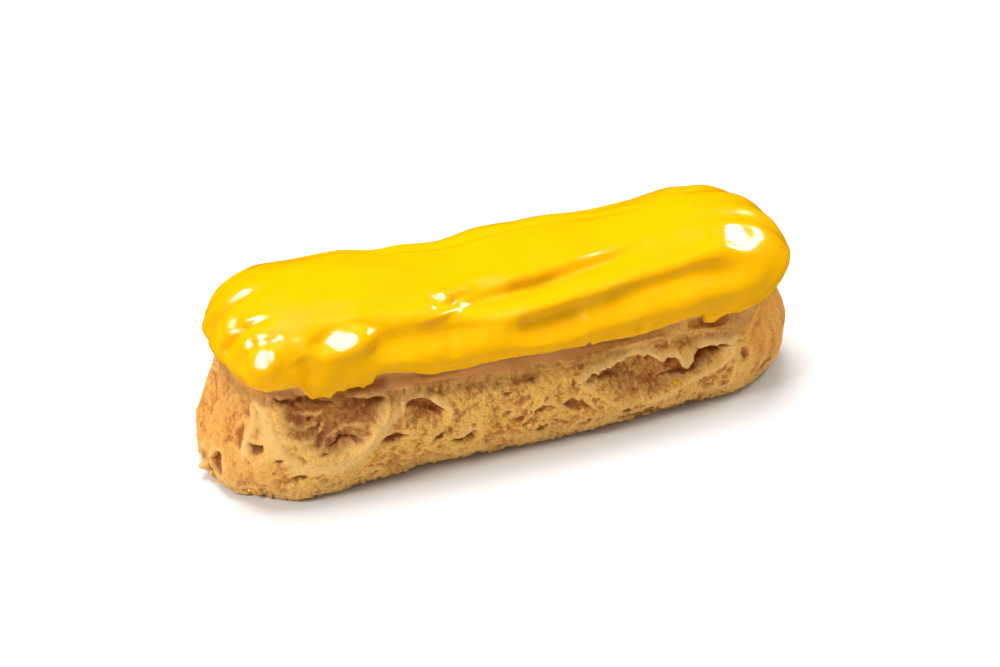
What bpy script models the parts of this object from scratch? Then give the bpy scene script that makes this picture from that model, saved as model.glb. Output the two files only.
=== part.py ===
"""An eclair: one long choux bun with a coat of poured icing over its top.

The bun is solid and stands on a flat base, with its length along X and its front along -Y.
Sizes below are millimetres, and MM turns them into metres where the meshes are made.
"""

import math

import bpy
import numpy as np

MM = 0.001

# Plan. Both solids are built on columns that look outwards from a straight spine: across it
# along the sides, and fanned round its two ends. A rim position is a length round this plan,
# 0 at the middle of the front and growing towards the +X end.
SPINE_HALF = 46.0
RIM_RADIUS = 20.0
SIDE_STEPS = 44
END_STEPS = 32

# How far the bun and the icing reach out from the spine, as (x, reach) along each side.
BUN_FRONT = ((-46, 22.6), (-20, 22.0), (5, 22.0), (25, 21.2), (46, 20.0))
BUN_BACK = ((-46, 21.3), (-24, 21.9), (4, 21.2), (28, 21.8), (46, 20.9))
BUN_ENDS = (22.0, 22.0)
BUN_END_SQUARENESS = (2.2, 2.05)
ICING_FRONT = ((-46, 20.5), (-20, 21.3), (5, 21.6), (25, 21.6), (46, 21.0))
ICING_BACK = ((-46, 21.4), (-15, 19.6), (10, 20.0), (46, 20.8))
ICING_ENDS = (17.7, 20.3)
ICING_END_SQUARENESS = (2.35, 2.4)

# The dome that the icing coats: its crest height along the spine, and its section.
CREST = (
    (-46, 39.9), (-35, 39.8), (-22, 37.9), (-10, 36.8), (0, 38.3),
    (10, 38.5), (25, 37.4), (35, 38.0), (46, 39.6),
)
DOME_MIDDLE = 27.0
DOME_UNDERSIDE = 12.0
DOME_SQUARENESS = 2.2
ICING_THICKNESS = 1.9
COAT_GAP = 0.45

# The icing's lower edge and the crust's upper lip, as (rim position, height).
ICING_EDGE = (
    (-150, 25.0), (-141, 23.4), (-133, 25.8), (-124, 24.6), (-115, 26.6), (-107, 24.8),
    (-99, 27.2), (-91, 26.0), (-80, 27.6), (-70, 28.1), (-62, 27.0), (-58, 26.5),
    (-51.8, 28.4), (-47.6, 24.6), (-43.7, 25.2), (-37.6, 25.4), (-34.2, 27.8), (-28.8, 27.0),
    (-22.8, 24.9), (-14.6, 24.6), (-6.9, 25.2), (1.2, 24.3), (8.2, 24.1), (22.8, 23.5),
    (30, 24.5), (37.4, 25.4), (40.3, 21.2), (42.8, 22.6), (48.7, 23.6), (55.4, 25.8),
    (61, 28.4), (70, 28.2), (79, 26.8), (88, 28.6), (97, 26.0), (104, 26.9),
    (111, 24.6), (118, 26.4), (127, 23.6), (134, 25.8), (146, 24.2), (152, 26.2),
)
LIP_HEIGHT = (
    (-140, 20.6), (-120, 20.0), (-104, 21.4), (-90, 22.6), (-77, 22.8), (-66, 23.2),
    (-52, 24.0), (-34.5, 23.2), (-23.3, 21.4), (-12.2, 19.9), (10.6, 19.5), (29.6, 20.0),
    (46, 20.0), (56, 22.4), (66, 23.8), (77, 23.8), (90, 22.8), (104, 20.8),
    (122, 19.6), (140, 20.4),
)
LIP_INSET = (
    (-130, 1.8), (-108, 2.4), (-92, 4.6), (-77, 6.4), (-62, 5.2), (-50, 2.6), (-34, 1.6),
    (0, 1.6), (30, 1.5), (46, 1.6), (58, 3.0), (77, 4.2), (96, 2.8), (110, 1.8), (150, 1.7),
)
LIP_CLEARANCE = 0.8

# Section of the crust's wall. The belly stands out furthest at a share of the lip's height,
# given as (rim position, share). The foot below it and the shoulder above it are each
# (share of the way, share of the inset), and a groove runs just under the lip.
BELLY_LEVEL = ((-112, 0.42), (-77, 0.2), (-54, 0.36), (-30, 0.45), (58, 0.46), (77, 0.42), (100, 0.45))
FOOT_INSET = (
    (-100, 2.6), (-77, 1.2), (-50, 2.6), (-34, 3.4), (-20, 4.8), (-6, 3.6), (12, 3.2),
    (40, 3.0), (60, 3.6), (90, 3.2), (150, 3.3),
)
FOOT_SECTION = ((0, 1), (0.22, 0.52), (0.55, 0.15), (1, 0))
SHOULDER_SECTION = ((0, 0), (0.36, 0.3), (0.67, 0.7), (0.87, 0.95), (1, 1))
GROOVE_DEPTH = (
    (-110, 0.5), (-77, 0.1), (-52, 0.3), (-30, 0.7), (0, 1.2), (32, 0.9), (56, 0.3), (100, 0.4), (150, 0.8),
)
GROOVE_LEVEL = 0.88
GROOVE_HALF_WIDTH = 0.07
WALL_LEVELS = (
    1, 0.94, 0.87, 0.8, 0.73, 0.66, 0.59, 0.52, 0.45, 0.38, 0.31, 0.24, 0.17, 0.11, 0.05, 0,
)

# Hollows where bubbles in the dough burst:
# rim position, height, half length, half height, depth, tilt in degrees.
HOLLOWS = (
    (-45.5, 17.0, 13.0, 8.0, 2.6, -8),
    (-59.2, 12.9, 3.0, 2.6, 3.0, 20),
    (-55.2, 10.6, 2.0, 1.6, 1.6, 0),
    (-24.6, 16.3, 5.0, 3.7, 2.4, -6),
    (-33.5, 12.6, 2.6, 1.9, 1.5, 0),
    (-21.9, 9.9, 2.2, 1.5, 1.4, 20),
    (-51.9, 7.2, 2.8, 1.5, 1.2, 0),
    (24.3, 12.6, 13.4, 5.0, 3.6, -6),
    (42.0, 12.8, 4.4, 3.2, 3.2, 24),
    (50.5, 15.6, 2.6, 2.4, 1.5, 0),
    (5.0, 11.0, 4.4, 2.4, 0.9, 0),
    (-5.0, 9.0, 3.4, 2.0, 0.8, 10),
    (13.0, 5.2, 3.4, 1.7, 0.9, 0),
    (-68.4, 5.6, 1.8, 3.0, 1.8, 0),
    (-80.0, 14.5, 4.4, 3.8, 1.6, 15),
    (-92.0, 10.0, 5.0, 3.2, 1.9, -20),
    (-103.5, 15.5, 4.4, 2.8, 2.0, 10),
    (-117.0, 11.0, 8.6, 4.6, 2.9, 5),
    (-131.0, 15.6, 3.6, 2.4, 1.8, 0),
    (-138.5, 8.4, 4.6, 2.6, 1.8, -12),
    (-150.5, 13.6, 5.6, 4.0, 2.6, 10),
    (148.0, 6.6, 3.0, 1.8, 1.3, 0),
    (139.5, 14.6, 3.6, 2.8, 2.0, -14),
    (126.5, 11.4, 9.4, 4.4, 3.1, -6),
    (111.0, 15.2, 3.6, 2.6, 1.9, 12),
    (104.0, 8.6, 3.8, 2.4, 1.6, 0),
    (92.0, 12.6, 4.6, 3.2, 1.7, 16),
    (74.0, 7.4, 3.6, 2.2, 1.3, -10),
)
HOLLOW_RIM = 0.1

# Folds of skin that stand proud of the crust, and slits torn in it (a negative height):
# height, width, and the points that it runs through as (rim position, height).
CRUST_FOLDS = (
    (0.9, 1.9, ((-66, 22.4), (-58.4, 17.8), (-54, 12.8), (-47.9, 9), (-41.7, 8), (-37, 12.4), (-30.6, 18.2))),
    (0.8, 1.3, ((9, 16.4), (16, 17.8), (24, 18.4), (30, 17.0), (34.6, 13.8), (39, 15.8), (45.6, 16.8))),
    (0.6, 1.2, ((14, 7.2), (22, 5.0), (31, 6.4), (38, 9.0))),
    (0.7, 1.1, ((-30.2, 17.2), (-27.6, 20.2), (-22.6, 20.0), (-19.0, 16.4))),
    (-1.4, 1.0, ((-19.6, 7.4), (-16.4, 7.7), (-13.8, 10.2))),
    (-1.2, 1.0, ((-45.4, 12.6), (-42, 12.9), (-38.8, 14.4))),
    (0.6, 1.3, ((-72, 18.0), (-66, 12.6), (-64.4, 7.0))),
    (0.7, 1.5, ((48, 6.6), (53.4, 11.4), (55, 17.4))),
    (0.8, 1.4, ((-127, 15.0), (-119, 16.8), (-110, 14.2), (-106, 9.6))),
    (0.8, 1.5, ((137, 9.0), (131, 16.4), (121, 16.8), (114, 11.0))),
    (-1.3, 1.1, ((144, 10.6), (139, 9.2), (134, 6.4))),
    (-1.2, 1.0, ((-146, 7.4), (-141, 4.8), (-134, 5.0))),
    (0.7, 1.4, ((83, 19.0), (79, 13.0), (84, 7.0))),
)

# The torn scrap at the foot of the -X end: rim position, height, half length, half height, bulge.
CRAG = (-72.0, 2.6, 2.6, 2.8, 1.6)

# Furrows in the icing, over the ropes of dough under it: depth, width, and points (x, y, z).
FURROWS = (
    (0.8, 2.4, ((-12, -13.0, 35.4), (-3.4, -14.7, 35.9), (3.4, -14.6, 36.5), (18, -12.8, 37), (30, -9.4, 37.4))),
    (1.2, 2.0, ((-4.5, -21.1, 29.6), (7.6, -20.9, 30.8), (15, -20.5, 31.4))),
    (0.7, 2.2, ((15, -20.5, 31.4), (30, -19.0, 33.0), (49, -19.4, 32.6))),
    (0.7, 2.0, ((-35, -16.9, 34.9), (-25, -17.6, 34.0), (-15.5, -17.6, 33.4))),
    (0.8, 2.0, ((-35, -5.6, 39.2), (-48, -4.6, 38.8), (-60, -4.4, 34.0))),
    (0.6, 1.8, ((36, 8.0, 38.0), (17, 9.6, 38.2), (-2.5, 8.0, 37.8), (-18, 10.4, 36.4), (-33, 12.2, 37.0))),
    (0.9, 2.2, ((38, 17.8, 34.0), (20, 17.0, 34.2), (6, 17.4, 33.2), (-10, 16.8, 33.0))),
    (0.8, 2.2, ((-14, 19.0, 30.4), (-28, 19.2, 31.2), (-42, 18.6, 31.6))),
)
FURROW_SHOULDER = 0.35

# Lobes where the ropes of dough turn down over the -X end: the directions of the furrows
# between them in degrees, and their depth and half width.
LOBE_FURROWS = (128, 150, 171, 193, 214, 232, 251)
LOBE_DEPTH = 0.9
LOBE_HALF_WIDTH = 1.7
LOBE_POLAR_RANGE = (26.0, 58.0)

# The icing's cross-section at its edge, as (distance above the edge, inset from the outside),
# and the roll of icing that gathers just above it.
BEAD_OUTER = ((3.0, 0.0), (1.0, 0.04), (0.05, 0.35))
BEAD_TIP = (-0.4, 0.95)
BEAD_INNER = ((0.1, 1.6),)
INNER_MARGIN = 1.2
ROLL_HEIGHT = 2.2
ROLL_WIDTH = 1.5
ROLL_SWELL = 0.4
OUTER_ROWS = 9
INNER_ROWS = 7
TUCK_DEPTH = 0.8
TUCK_REACH = 3.0

# Slow unevenness of the crust and of the icing: size, and the waves that it is made of.
UNEVEN_SEED = 7
UNEVEN_WAVES = 9
BUN_UNEVEN = 0.3
ICING_UNEVEN = 0.22

CHOUX_COLOUR = (0.60, 0.29, 0.085, 1.0)
CHOUX_ROUGHNESS = 0.72
ICING_COLOUR = (0.96, 0.62, 0.004, 1.0)
ICING_ROUGHNESS = 0.26


def smooth_step(low, high, value):
    share = np.clip((value - low) / (high - low), 0, 1)
    return share * share * (3 - 2 * share)


def curve_through(points, at, period=None):
    """Values of a smooth curve through (position, value) points, which never overshoots them."""
    places, values = np.array(points, float).T
    if period:
        places = np.concatenate([places[-2:] - period, places, places[:2] + period])
        values = np.concatenate([values[-2:], values, values[:2]])
    gaps = np.diff(places)
    slopes = np.diff(values) / gaps
    product = slopes[1:] * slopes[:-1]
    total = np.where(product > 0, slopes[1:] + slopes[:-1], 1)
    tangents = np.concatenate([[0], np.where(product > 0, 2 * product / total, 0), [0]])
    at = np.asarray(at, float)
    left = np.clip(np.searchsorted(places, at) - 1, 0, len(gaps) - 1)
    gap = gaps[left]
    t = np.clip((at - places[left]) / gap, 0, 1)
    start = (1 + 2 * t) * (1 - t) ** 2 * values[left] + t * (1 - t) ** 2 * gap * tangents[left]
    end = t * t * (3 - 2 * t) * values[left + 1] + t * t * (t - 1) * gap * tangents[left + 1]
    return start + end


def make_columns():
    """Spine point x, outward direction and rim position of each column, and its spine vertex."""
    along = np.linspace(-SPINE_HALF, SPINE_HALF, SIDE_STEPS + 1)
    fan = np.linspace(0, math.pi, END_STEPS + 1)[1:-1]
    quarter = math.pi / 2
    x = np.concatenate([along, np.full(len(fan), SPINE_HALF), along[::-1], np.full(len(fan), -SPINE_HALF)])
    direction = np.concatenate(
        [np.full(len(along), -quarter), fan - quarter, np.full(len(along), quarter), fan + quarter]
    )
    end_arc = math.pi * RIM_RADIUS
    rim = np.concatenate(
        [
            along,
            SPINE_HALF + RIM_RADIUS * fan,
            SPINE_HALF + end_arc + (SPINE_HALF - along[::-1]),
            -SPINE_HALF - end_arc + RIM_RADIUS * fan,
        ]
    )
    rim = np.where(rim > rim_length() / 2, rim - rim_length(), rim)
    steps = np.arange(SIDE_STEPS + 1)
    spine_index = np.concatenate(
        [steps, np.full(len(fan), SIDE_STEPS), steps[::-1], np.zeros(len(fan), int)]
    )
    return x, direction, rim, spine_index


def rim_length():
    return 4 * SPINE_HALF + 2 * math.pi * RIM_RADIUS


def rim_distance(rim, centre):
    half = rim_length() / 2
    return (rim - centre + half) % rim_length() - half


def reach(x, direction, front, back, ends, squareness):
    """Distance from the spine to the outline, rounded from each side into each end."""
    to_right = np.cos(direction) > 0
    to_front = np.sin(direction) < 0
    end = np.where(to_right, ends[1], ends[0])
    power = np.where(to_right, squareness[1], squareness[0])
    side = np.where(to_front, curve_through(front, x), curve_through(back, x))
    lengthways = np.abs(np.cos(direction)) / end
    sideways = np.abs(np.sin(direction)) / side
    return (lengthways**power + sideways**power) ** (-1 / power)


def unevenness(rim, height):
    """A slow waviness round the rim and up the wall, between about -1 and 1."""
    draw = np.random.default_rng(UNEVEN_SEED)
    total = 0
    for _ in range(UNEVEN_WAVES):
        turns = draw.integers(4, 30)
        rise = draw.uniform(-0.5, 0.5)
        phase = draw.uniform(0, 2 * math.pi)
        total = total + np.cos(2 * math.pi * turns * rim / rim_length() + rise * height + phase)
    return total / math.sqrt(UNEVEN_WAVES)


def dome_radius(x, direction, polar):
    """Distance from the dome's middle line to the icing's plain outer surface."""
    side = reach(x, direction, ICING_FRONT, ICING_BACK, ICING_ENDS, ICING_END_SQUARENESS)
    above = curve_through(CREST, x) - DOME_MIDDLE
    upright = np.where(np.cos(polar) > 0, above, DOME_UNDERSIDE)
    across = np.abs(np.sin(polar)) / side
    upwards = np.abs(np.cos(polar)) / upright
    return (across**DOME_SQUARENESS + upwards**DOME_SQUARENESS) ** (-1 / DOME_SQUARENESS)


def lobe_relief(direction, polar, radius):
    """The furrows that part the lobes over the -X end, as a change of radius."""
    turned = np.degrees(direction) % 360
    low, high = LOBE_POLAR_RANGE
    window = smooth_step(low, high, np.degrees(polar)) * smooth_step(0, 0.5, -np.cos(direction))
    total = 0
    for place in LOBE_FURROWS:
        aside = np.radians(turned - place) * radius * np.sin(polar)
        total = total - LOBE_DEPTH * np.exp(-((aside / LOBE_HALF_WIDTH) ** 2))
    return total * window


def place(x, direction, polar, radius):
    """Points at a radius and polar angle from the dome's middle line."""
    out = radius * np.sin(polar)
    return np.stack(
        [x + np.cos(direction) * out, np.sin(direction) * out, DOME_MIDDLE + radius * np.cos(polar)], axis=-1
    )


def distance_to_path(points, path):
    """Shortest distance from each point to a run of straight segments."""
    nearest = np.full(points.shape[:-1], np.inf)
    path = np.array(path, float)
    for start, end in zip(path[:-1], path[1:]):
        run = end - start
        share = np.clip((points - start) @ run / (run @ run), 0, 1)
        gap = points - start - share[..., None] * run
        nearest = np.minimum(nearest, np.linalg.norm(gap, axis=-1))
    return nearest


def furrow_relief(points):
    """The furrows along the icing, with a low shoulder each side, as a change of radius."""
    total = np.zeros(points.shape[:-1])
    for depth, width, path in FURROWS:
        share = distance_to_path(points, path) / width
        total += depth * (FURROW_SHOULDER * np.exp(-(((share - 1.7) / 0.8) ** 2)) - np.exp(-(share**2)))
    return total


def polar_at_height(x, direction, height):
    """The polar angle at which the icing's plain surface passes each column's height."""
    angles = np.linspace(math.radians(60), math.radians(125), 80)
    found = np.empty(len(x))
    for i in range(len(x)):
        radius = dome_radius(x[i], direction[i], angles)
        heights = DOME_MIDDLE + radius * np.cos(angles)
        found[i] = np.interp(-height[i], -heights, angles)
    return found


def dome_points(x, direction, polar, inset):
    """The dome under or over the coat, following the lobes, at an inset from its outside."""
    radius = dome_radius(x, direction, polar)
    radius = radius + lobe_relief(direction, polar, radius) - inset
    return place(x, direction, polar, radius)


def icing_rows(x, direction, rim):
    """Rows of points from the outer crest down to the edge, round it, and up to the inner crest."""
    edge = polar_at_height(x, direction, curve_through(ICING_EDGE, rim, rim_length()))
    rows = []
    for share in np.linspace(0, 1, OUTER_ROWS, endpoint=False):
        rows.append(icing_outside(x, direction, rim, share * (edge - BEAD_OUTER[0][0] / RIM_RADIUS), edge, 0))
    for above, inset in BEAD_OUTER + (BEAD_TIP,):
        rows.append(icing_outside(x, direction, rim, edge - above / RIM_RADIUS, edge, inset))
    for above, inset in BEAD_INNER:
        rows.append(dome_points(x, direction, edge - above / RIM_RADIUS, inset))
    for polar in reversed(inner_polars(edge)):
        rows.append(dome_points(x, direction, polar, ICING_THICKNESS))
    return np.array(rows)


def inner_polars(edge):
    """Polar angles of the rows that the icing's inside and the dome under it share."""
    last = edge - INNER_MARGIN / RIM_RADIUS
    return [share * last for share in np.linspace(0, 1, INNER_ROWS)]


def icing_outside(x, direction, rim, polar, edge, inset):
    """One row of the icing's outside, with its furrows, its waviness and the roll at its edge."""
    radius = dome_radius(x, direction, polar)
    above_edge = (edge - polar) * RIM_RADIUS
    swell = ROLL_SWELL * np.exp(-(((above_edge - ROLL_HEIGHT) / ROLL_WIDTH) ** 2))
    fade = smooth_step(0, 3, above_edge)
    radius = radius + lobe_relief(direction, polar, radius) + swell
    radius = radius + ICING_UNEVEN * np.sin(polar) * unevenness(rim, 8 * polar) * fade
    radius = radius + furrow_relief(place(x, direction, polar, radius)) * fade
    return place(x, direction, polar, radius - inset)


def crust_relief(rim, height):
    """How far the crust's wall stands out from its plain section, at each rim position and height."""
    total = BUN_UNEVEN * unevenness(rim, height)
    for centre, middle, half_length, half_height, depth, tilt in HOLLOWS:
        along = rim_distance(rim, centre)
        up = height - middle
        turn = math.radians(tilt)
        u = (along * math.cos(turn) + up * math.sin(turn)) / half_length
        v = (up * math.cos(turn) - along * math.sin(turn)) / half_height
        away = np.hypot(u, v)
        floor = np.where(v > 0, 0.7, 0.4)
        total = total - depth * (1 - smooth_step(floor, 1.05, away))
        total = total + depth * HOLLOW_RIM * np.exp(-(((away - 1.15) / 0.15) ** 2))
    for rise, width, path in CRUST_FOLDS:
        path = np.array(path, float)
        first = path[0, 0]
        path[:, 0] -= first
        flat = np.stack([rim_distance(rim, first), height], axis=-1)
        total = total + rise * np.exp(-((distance_to_path(flat, path) / width) ** 2))
    crag_rim, crag_height, half_length, half_height, bulge = CRAG
    away = np.hypot(rim_distance(rim, crag_rim) / half_length, (height - crag_height) / half_height)
    return total + bulge * (1 - smooth_step(0.3, 1, away))


def wall_inset(rim, level):
    """How far the crust's plain section lies in from the belly, at a share of the lip's height."""
    belly = curve_through(BELLY_LEVEL, rim, rim_length())
    below = curve_through(FOOT_SECTION, level / belly) * curve_through(FOOT_INSET, rim, rim_length())
    above = curve_through(SHOULDER_SECTION, (level - belly) / (1 - belly))
    above = above * curve_through(LIP_INSET, rim, rim_length())
    groove = curve_through(GROOVE_DEPTH, rim, rim_length())
    groove = groove * np.exp(-(((level - GROOVE_LEVEL) / GROOVE_HALF_WIDTH) ** 2))
    return np.where(level < belly, below, above) + groove


def bun_rows(x, direction, rim):
    """Rows of points from the crest down under the icing, then down the open wall to the base."""
    edge_height = curve_through(ICING_EDGE, rim, rim_length())
    tuck = np.array([edge_height[np.abs(rim_distance(rim, r)) < TUCK_REACH].min() for r in rim])
    tuck = tuck - TUCK_DEPTH
    tuck_polar = polar_at_height(x, direction, tuck)
    lip = np.minimum(curve_through(LIP_HEIGHT, rim, rim_length()), tuck - LIP_CLEARANCE)
    bulge = reach(x, direction, BUN_FRONT, BUN_BACK, BUN_ENDS, BUN_END_SQUARENESS)
    outward = np.stack([np.cos(direction), np.sin(direction), np.zeros(len(x))], axis=-1)
    spine = np.stack([x, np.zeros(len(x)), np.zeros(len(x))], axis=-1)
    rows = []
    under_coat = ICING_THICKNESS + COAT_GAP
    edge = polar_at_height(x, direction, edge_height)
    for polar in inner_polars(edge) + [tuck_polar]:
        rows.append(dome_points(x, direction, polar, under_coat))
    for level in WALL_LEVELS:
        height = level * lip
        out = bulge - wall_inset(rim, level) + crust_relief(rim, height)
        row = spine + outward * out[:, None]
        row[:, 2] = height
        rows.append(row)
    return np.array(rows)


def make_material(name, colour, roughness):
    material = bpy.data.materials.new(name)
    material.use_nodes = True
    shader = material.node_tree.nodes["Principled BSDF"]
    shader.inputs["Base Color"].default_value = colour
    shader.inputs["Roughness"].default_value = roughness
    shader.inputs["Metallic"].default_value = 0.0
    return material


def make_solid(name, rows, spine_index, ends_on_spine, material):
    """Skins rows of points into one closed mesh.

    The first row closes on the spine above. The last row closes on the spine too, or else
    becomes the rim of one flat face.
    """
    columns = rows.shape[1]
    spine_points = len(set(spine_index.tolist()))
    rings = rows[1:-1] if ends_on_spine else rows[1:]
    points = []
    for row in (rows[0], rows[-1]) if ends_on_spine else (rows[0],):
        for i in range(spine_points):
            points.append(row[int(np.argmax(spine_index == i))])
    first_ring = len(points)
    points.extend(rings.reshape(-1, 3))
    following = [(i + 1) % columns for i in range(columns)]
    faces = []
    for i in range(columns):
        top = dict.fromkeys([int(spine_index[following[i]]), int(spine_index[i])])
        faces.append((*top, first_ring + i, first_ring + following[i]))
    for r in range(len(rings) - 1):
        upper = first_ring + r * columns
        lower = upper + columns
        for i in range(columns):
            faces.append((upper + i, lower + i, lower + following[i], upper + following[i]))
    last = first_ring + (len(rings) - 1) * columns
    if ends_on_spine:
        for i in range(columns):
            low = dict.fromkeys([int(spine_index[i]), int(spine_index[following[i]])])
            faces.append((*(spine_points + j for j in low), last + following[i], last + i))
    else:
        faces.append(tuple(last + i for i in range(columns))[::-1])
    mesh = bpy.data.meshes.new(name)
    mesh.from_pydata([tuple(point * MM) for point in points], [], faces)
    mesh.validate()
    mesh.shade_smooth()
    mesh.materials.append(material)
    solid = bpy.data.objects.new(name, mesh)
    bpy.context.scene.collection.objects.link(solid)
    return solid


def main():
    for thing in list(bpy.data.objects):
        bpy.data.objects.remove(thing)
    x, direction, rim, spine_index = make_columns()
    choux = make_material("baked_choux", CHOUX_COLOUR, CHOUX_ROUGHNESS)
    glaze = make_material("yellow_icing", ICING_COLOUR, ICING_ROUGHNESS)
    make_solid("choux_bun", bun_rows(x, direction, rim), spine_index, False, choux)
    make_solid("icing", icing_rows(x, direction, rim), spine_index, True, glaze)


main()
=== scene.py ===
import math

import bpy
import numpy as np
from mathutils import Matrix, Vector


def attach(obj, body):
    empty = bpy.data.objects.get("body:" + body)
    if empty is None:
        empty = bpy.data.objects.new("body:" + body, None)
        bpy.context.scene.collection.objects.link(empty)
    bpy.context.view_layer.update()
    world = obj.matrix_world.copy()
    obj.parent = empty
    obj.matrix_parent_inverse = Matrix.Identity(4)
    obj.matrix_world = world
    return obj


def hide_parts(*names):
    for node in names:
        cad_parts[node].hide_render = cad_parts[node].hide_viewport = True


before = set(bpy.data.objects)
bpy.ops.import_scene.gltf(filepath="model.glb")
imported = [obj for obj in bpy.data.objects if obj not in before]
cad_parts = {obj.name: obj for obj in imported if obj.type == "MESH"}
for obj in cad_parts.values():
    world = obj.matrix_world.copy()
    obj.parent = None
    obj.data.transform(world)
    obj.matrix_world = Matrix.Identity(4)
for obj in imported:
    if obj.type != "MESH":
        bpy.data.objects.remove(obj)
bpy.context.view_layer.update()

# Sizes here are millimetres unless a name says otherwise, and mm turns them into metres.
mm = 0.001

print("eclair: frame loaded")

# The plan is a straight spine with a round end at each end of it. A rim position is a
# length round the plan: 0 at the middle of the front, growing towards +X.
plan = {
    "spineHalf": 46.0,
    "rimRadius": 20.0,
}
rimLength = 4 * plan["spineHalf"] + 2 * math.pi * plan["rimRadius"]

# the dome under the icing, and how far the icing's outside reaches from the spine
dome = {
    "front": ((-46, 20.5), (-20, 21.3), (5, 21.6), (25, 21.6), (46, 21.0)),
    "back": ((-46, 21.4), (-15, 19.6), (10, 20.0), (46, 20.8)),
    "ends": (17.7, 20.3),
    "squareness": (2.35, 2.4),
    "crest": (
        (-46, 39.9), (-35, 39.8), (-22, 37.9), (-10, 36.8), (0, 38.3),
        (10, 38.5), (25, 37.4), (35, 38.0), (46, 39.6),
    ),
    "middle": 27.0,
    "underside": 12.0,
    "sectionSquareness": 2.2,
    "thickness": 1.9,
    "gap": 0.45,
    "innerMargin": 1.2,
    "innerRows": 7,
    "lobeFurrows": (128, 150, 171, 193, 214, 232, 251),
    "lobeDepth": 0.9,
    "lobeHalfWidth": 1.7,
    "lobePolar": (26.0, 58.0),
    # where the icing's edge is looked for: lowest and highest angle, and steps between them
    "edgeSearch": (60, 125, 80),
}

# the slow waviness of every wall: how many waves, how often they turn, and how they lean
waves = {"count": 9, "turns": (4, 30), "lean": 0.5, "seed": 7}


def smoothStep(low, high, value):
    share = np.clip((value - low) / (high - low), 0, 1)
    return share * share * (3 - 2 * share)


# 1 in the middle, and nearly nought at twice the width away from it
def bell(value, middle=0.0, width=1.0):
    return np.exp(-(((value - middle) / width) ** 2))


# values of a smooth curve through (position, value) points, with no overshoot
def curveThrough(points, at, period=None):
    places, values = np.array(points, float).T
    if period:
        places = np.concatenate([places[-2:] - period, places, places[:2] + period])
        values = np.concatenate([values[-2:], values, values[:2]])
    gaps = np.diff(places)
    slopes = np.diff(values) / gaps
    product = slopes[1:] * slopes[:-1]
    total = np.where(product > 0, slopes[1:] + slopes[:-1], 1)
    tangents = np.concatenate([[0], np.where(product > 0, 2 * product / total, 0), [0]])
    at = np.asarray(at, float)
    left = np.clip(np.searchsorted(places, at) - 1, 0, len(gaps) - 1)
    gap = gaps[left]
    t = np.clip((at - places[left]) / gap, 0, 1)
    start = (1 + 2 * t) * (1 - t) ** 2 * values[left] + t * (1 - t) ** 2 * gap * tangents[left]
    end = t * t * (3 - 2 * t) * values[left + 1] + t * t * (t - 1) * gap * tangents[left + 1]
    return start + end


def roundRim(points, rim):
    return curveThrough(points, rim, rimLength)


def rimDistance(rim, centre):
    return (rim - centre + rimLength / 2) % rimLength - rimLength / 2


# spine x, outward direction, rim position and spine vertex of each column; the front may
# have a whole number of times as many columns as the back
def makeColumns(frontSteps, endSteps, backSteps):
    half = plan["spineHalf"]
    front = np.linspace(-half, half, frontSteps + 1)
    back = np.linspace(half, -half, backSteps + 1)
    fan = np.linspace(0, math.pi, endSteps + 1)[1:-1]
    quarter = math.pi / 2
    arc = math.pi * plan["rimRadius"]
    x = np.concatenate([front, np.full(len(fan), half), back, np.full(len(fan), -half)])
    direction = np.concatenate([
        np.full(len(front), -quarter), fan - quarter, np.full(len(back), quarter), fan + quarter,
    ])
    rim = np.concatenate([
        front, half + plan["rimRadius"] * fan, half + arc + (half - back),
        -half - arc + plan["rimRadius"] * fan,
    ])
    rim = np.where(rim > rimLength / 2, rim - rimLength, rim)
    frontSpine = np.arange(frontSteps + 1) * backSteps // frontSteps
    backSpine = np.arange(backSteps + 1)[::-1]
    spine = np.concatenate([
        frontSpine, np.full(len(fan), backSteps), backSpine, np.zeros(len(fan), int),
    ])
    return {"x": x, "direction": direction, "rim": rim, "spine": spine}


def reachOf(columns, front, back, ends, squareness):
    x, direction = columns["x"], columns["direction"]
    toRight = np.cos(direction) > 0
    end = np.where(toRight, ends[1], ends[0])
    power = np.where(toRight, squareness[1], squareness[0])
    side = np.where(np.sin(direction) < 0, curveThrough(front, x), curveThrough(back, x))
    lengthways = np.abs(np.cos(direction)) / end
    sideways = np.abs(np.sin(direction)) / side
    return (lengthways**power + sideways**power) ** (-1 / power)


# a slow waviness round the rim and up the wall, between about -1 and 1
def unevenness(rim, height):
    draw = np.random.default_rng(waves["seed"])
    total = 0
    for _ in range(waves["count"]):
        turns = draw.integers(*waves["turns"])
        lean = draw.uniform(-waves["lean"], waves["lean"])
        phase = draw.uniform(0, 2 * math.pi)
        total = total + np.cos(2 * math.pi * turns * rim / rimLength + lean * height + phase)
    return total / math.sqrt(waves["count"])


def domeRadius(columns, polar):
    side = reachOf(columns, dome["front"], dome["back"], dome["ends"], dome["squareness"])
    above = curveThrough(dome["crest"], columns["x"]) - dome["middle"]
    upright = np.where(np.cos(polar) > 0, above, dome["underside"])
    power = dome["sectionSquareness"]
    across = np.abs(np.sin(polar)) / side
    upwards = np.abs(np.cos(polar)) / upright
    return (across**power + upwards**power) ** (-1 / power)


# furrows between the lobes that turn down over the -X end
def lobeRelief(columns, polar, radius):
    direction = columns["direction"]
    turned = np.degrees(direction) % 360
    low, high = dome["lobePolar"]
    window = smoothStep(low, high, np.degrees(polar)) * smoothStep(0, 0.5, -np.cos(direction))
    total = 0
    for furrow in dome["lobeFurrows"]:
        aside = np.radians(turned - furrow) * radius * np.sin(polar)
        total = total - dome["lobeDepth"] * bell(aside, width=dome["lobeHalfWidth"])
    return total * window


def placeOnDome(columns, polar, radius):
    out = radius * np.sin(polar)
    return np.stack([
        columns["x"] + np.cos(columns["direction"]) * out,
        np.sin(columns["direction"]) * out,
        dome["middle"] + radius * np.cos(polar),
    ], axis=-1)


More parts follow.
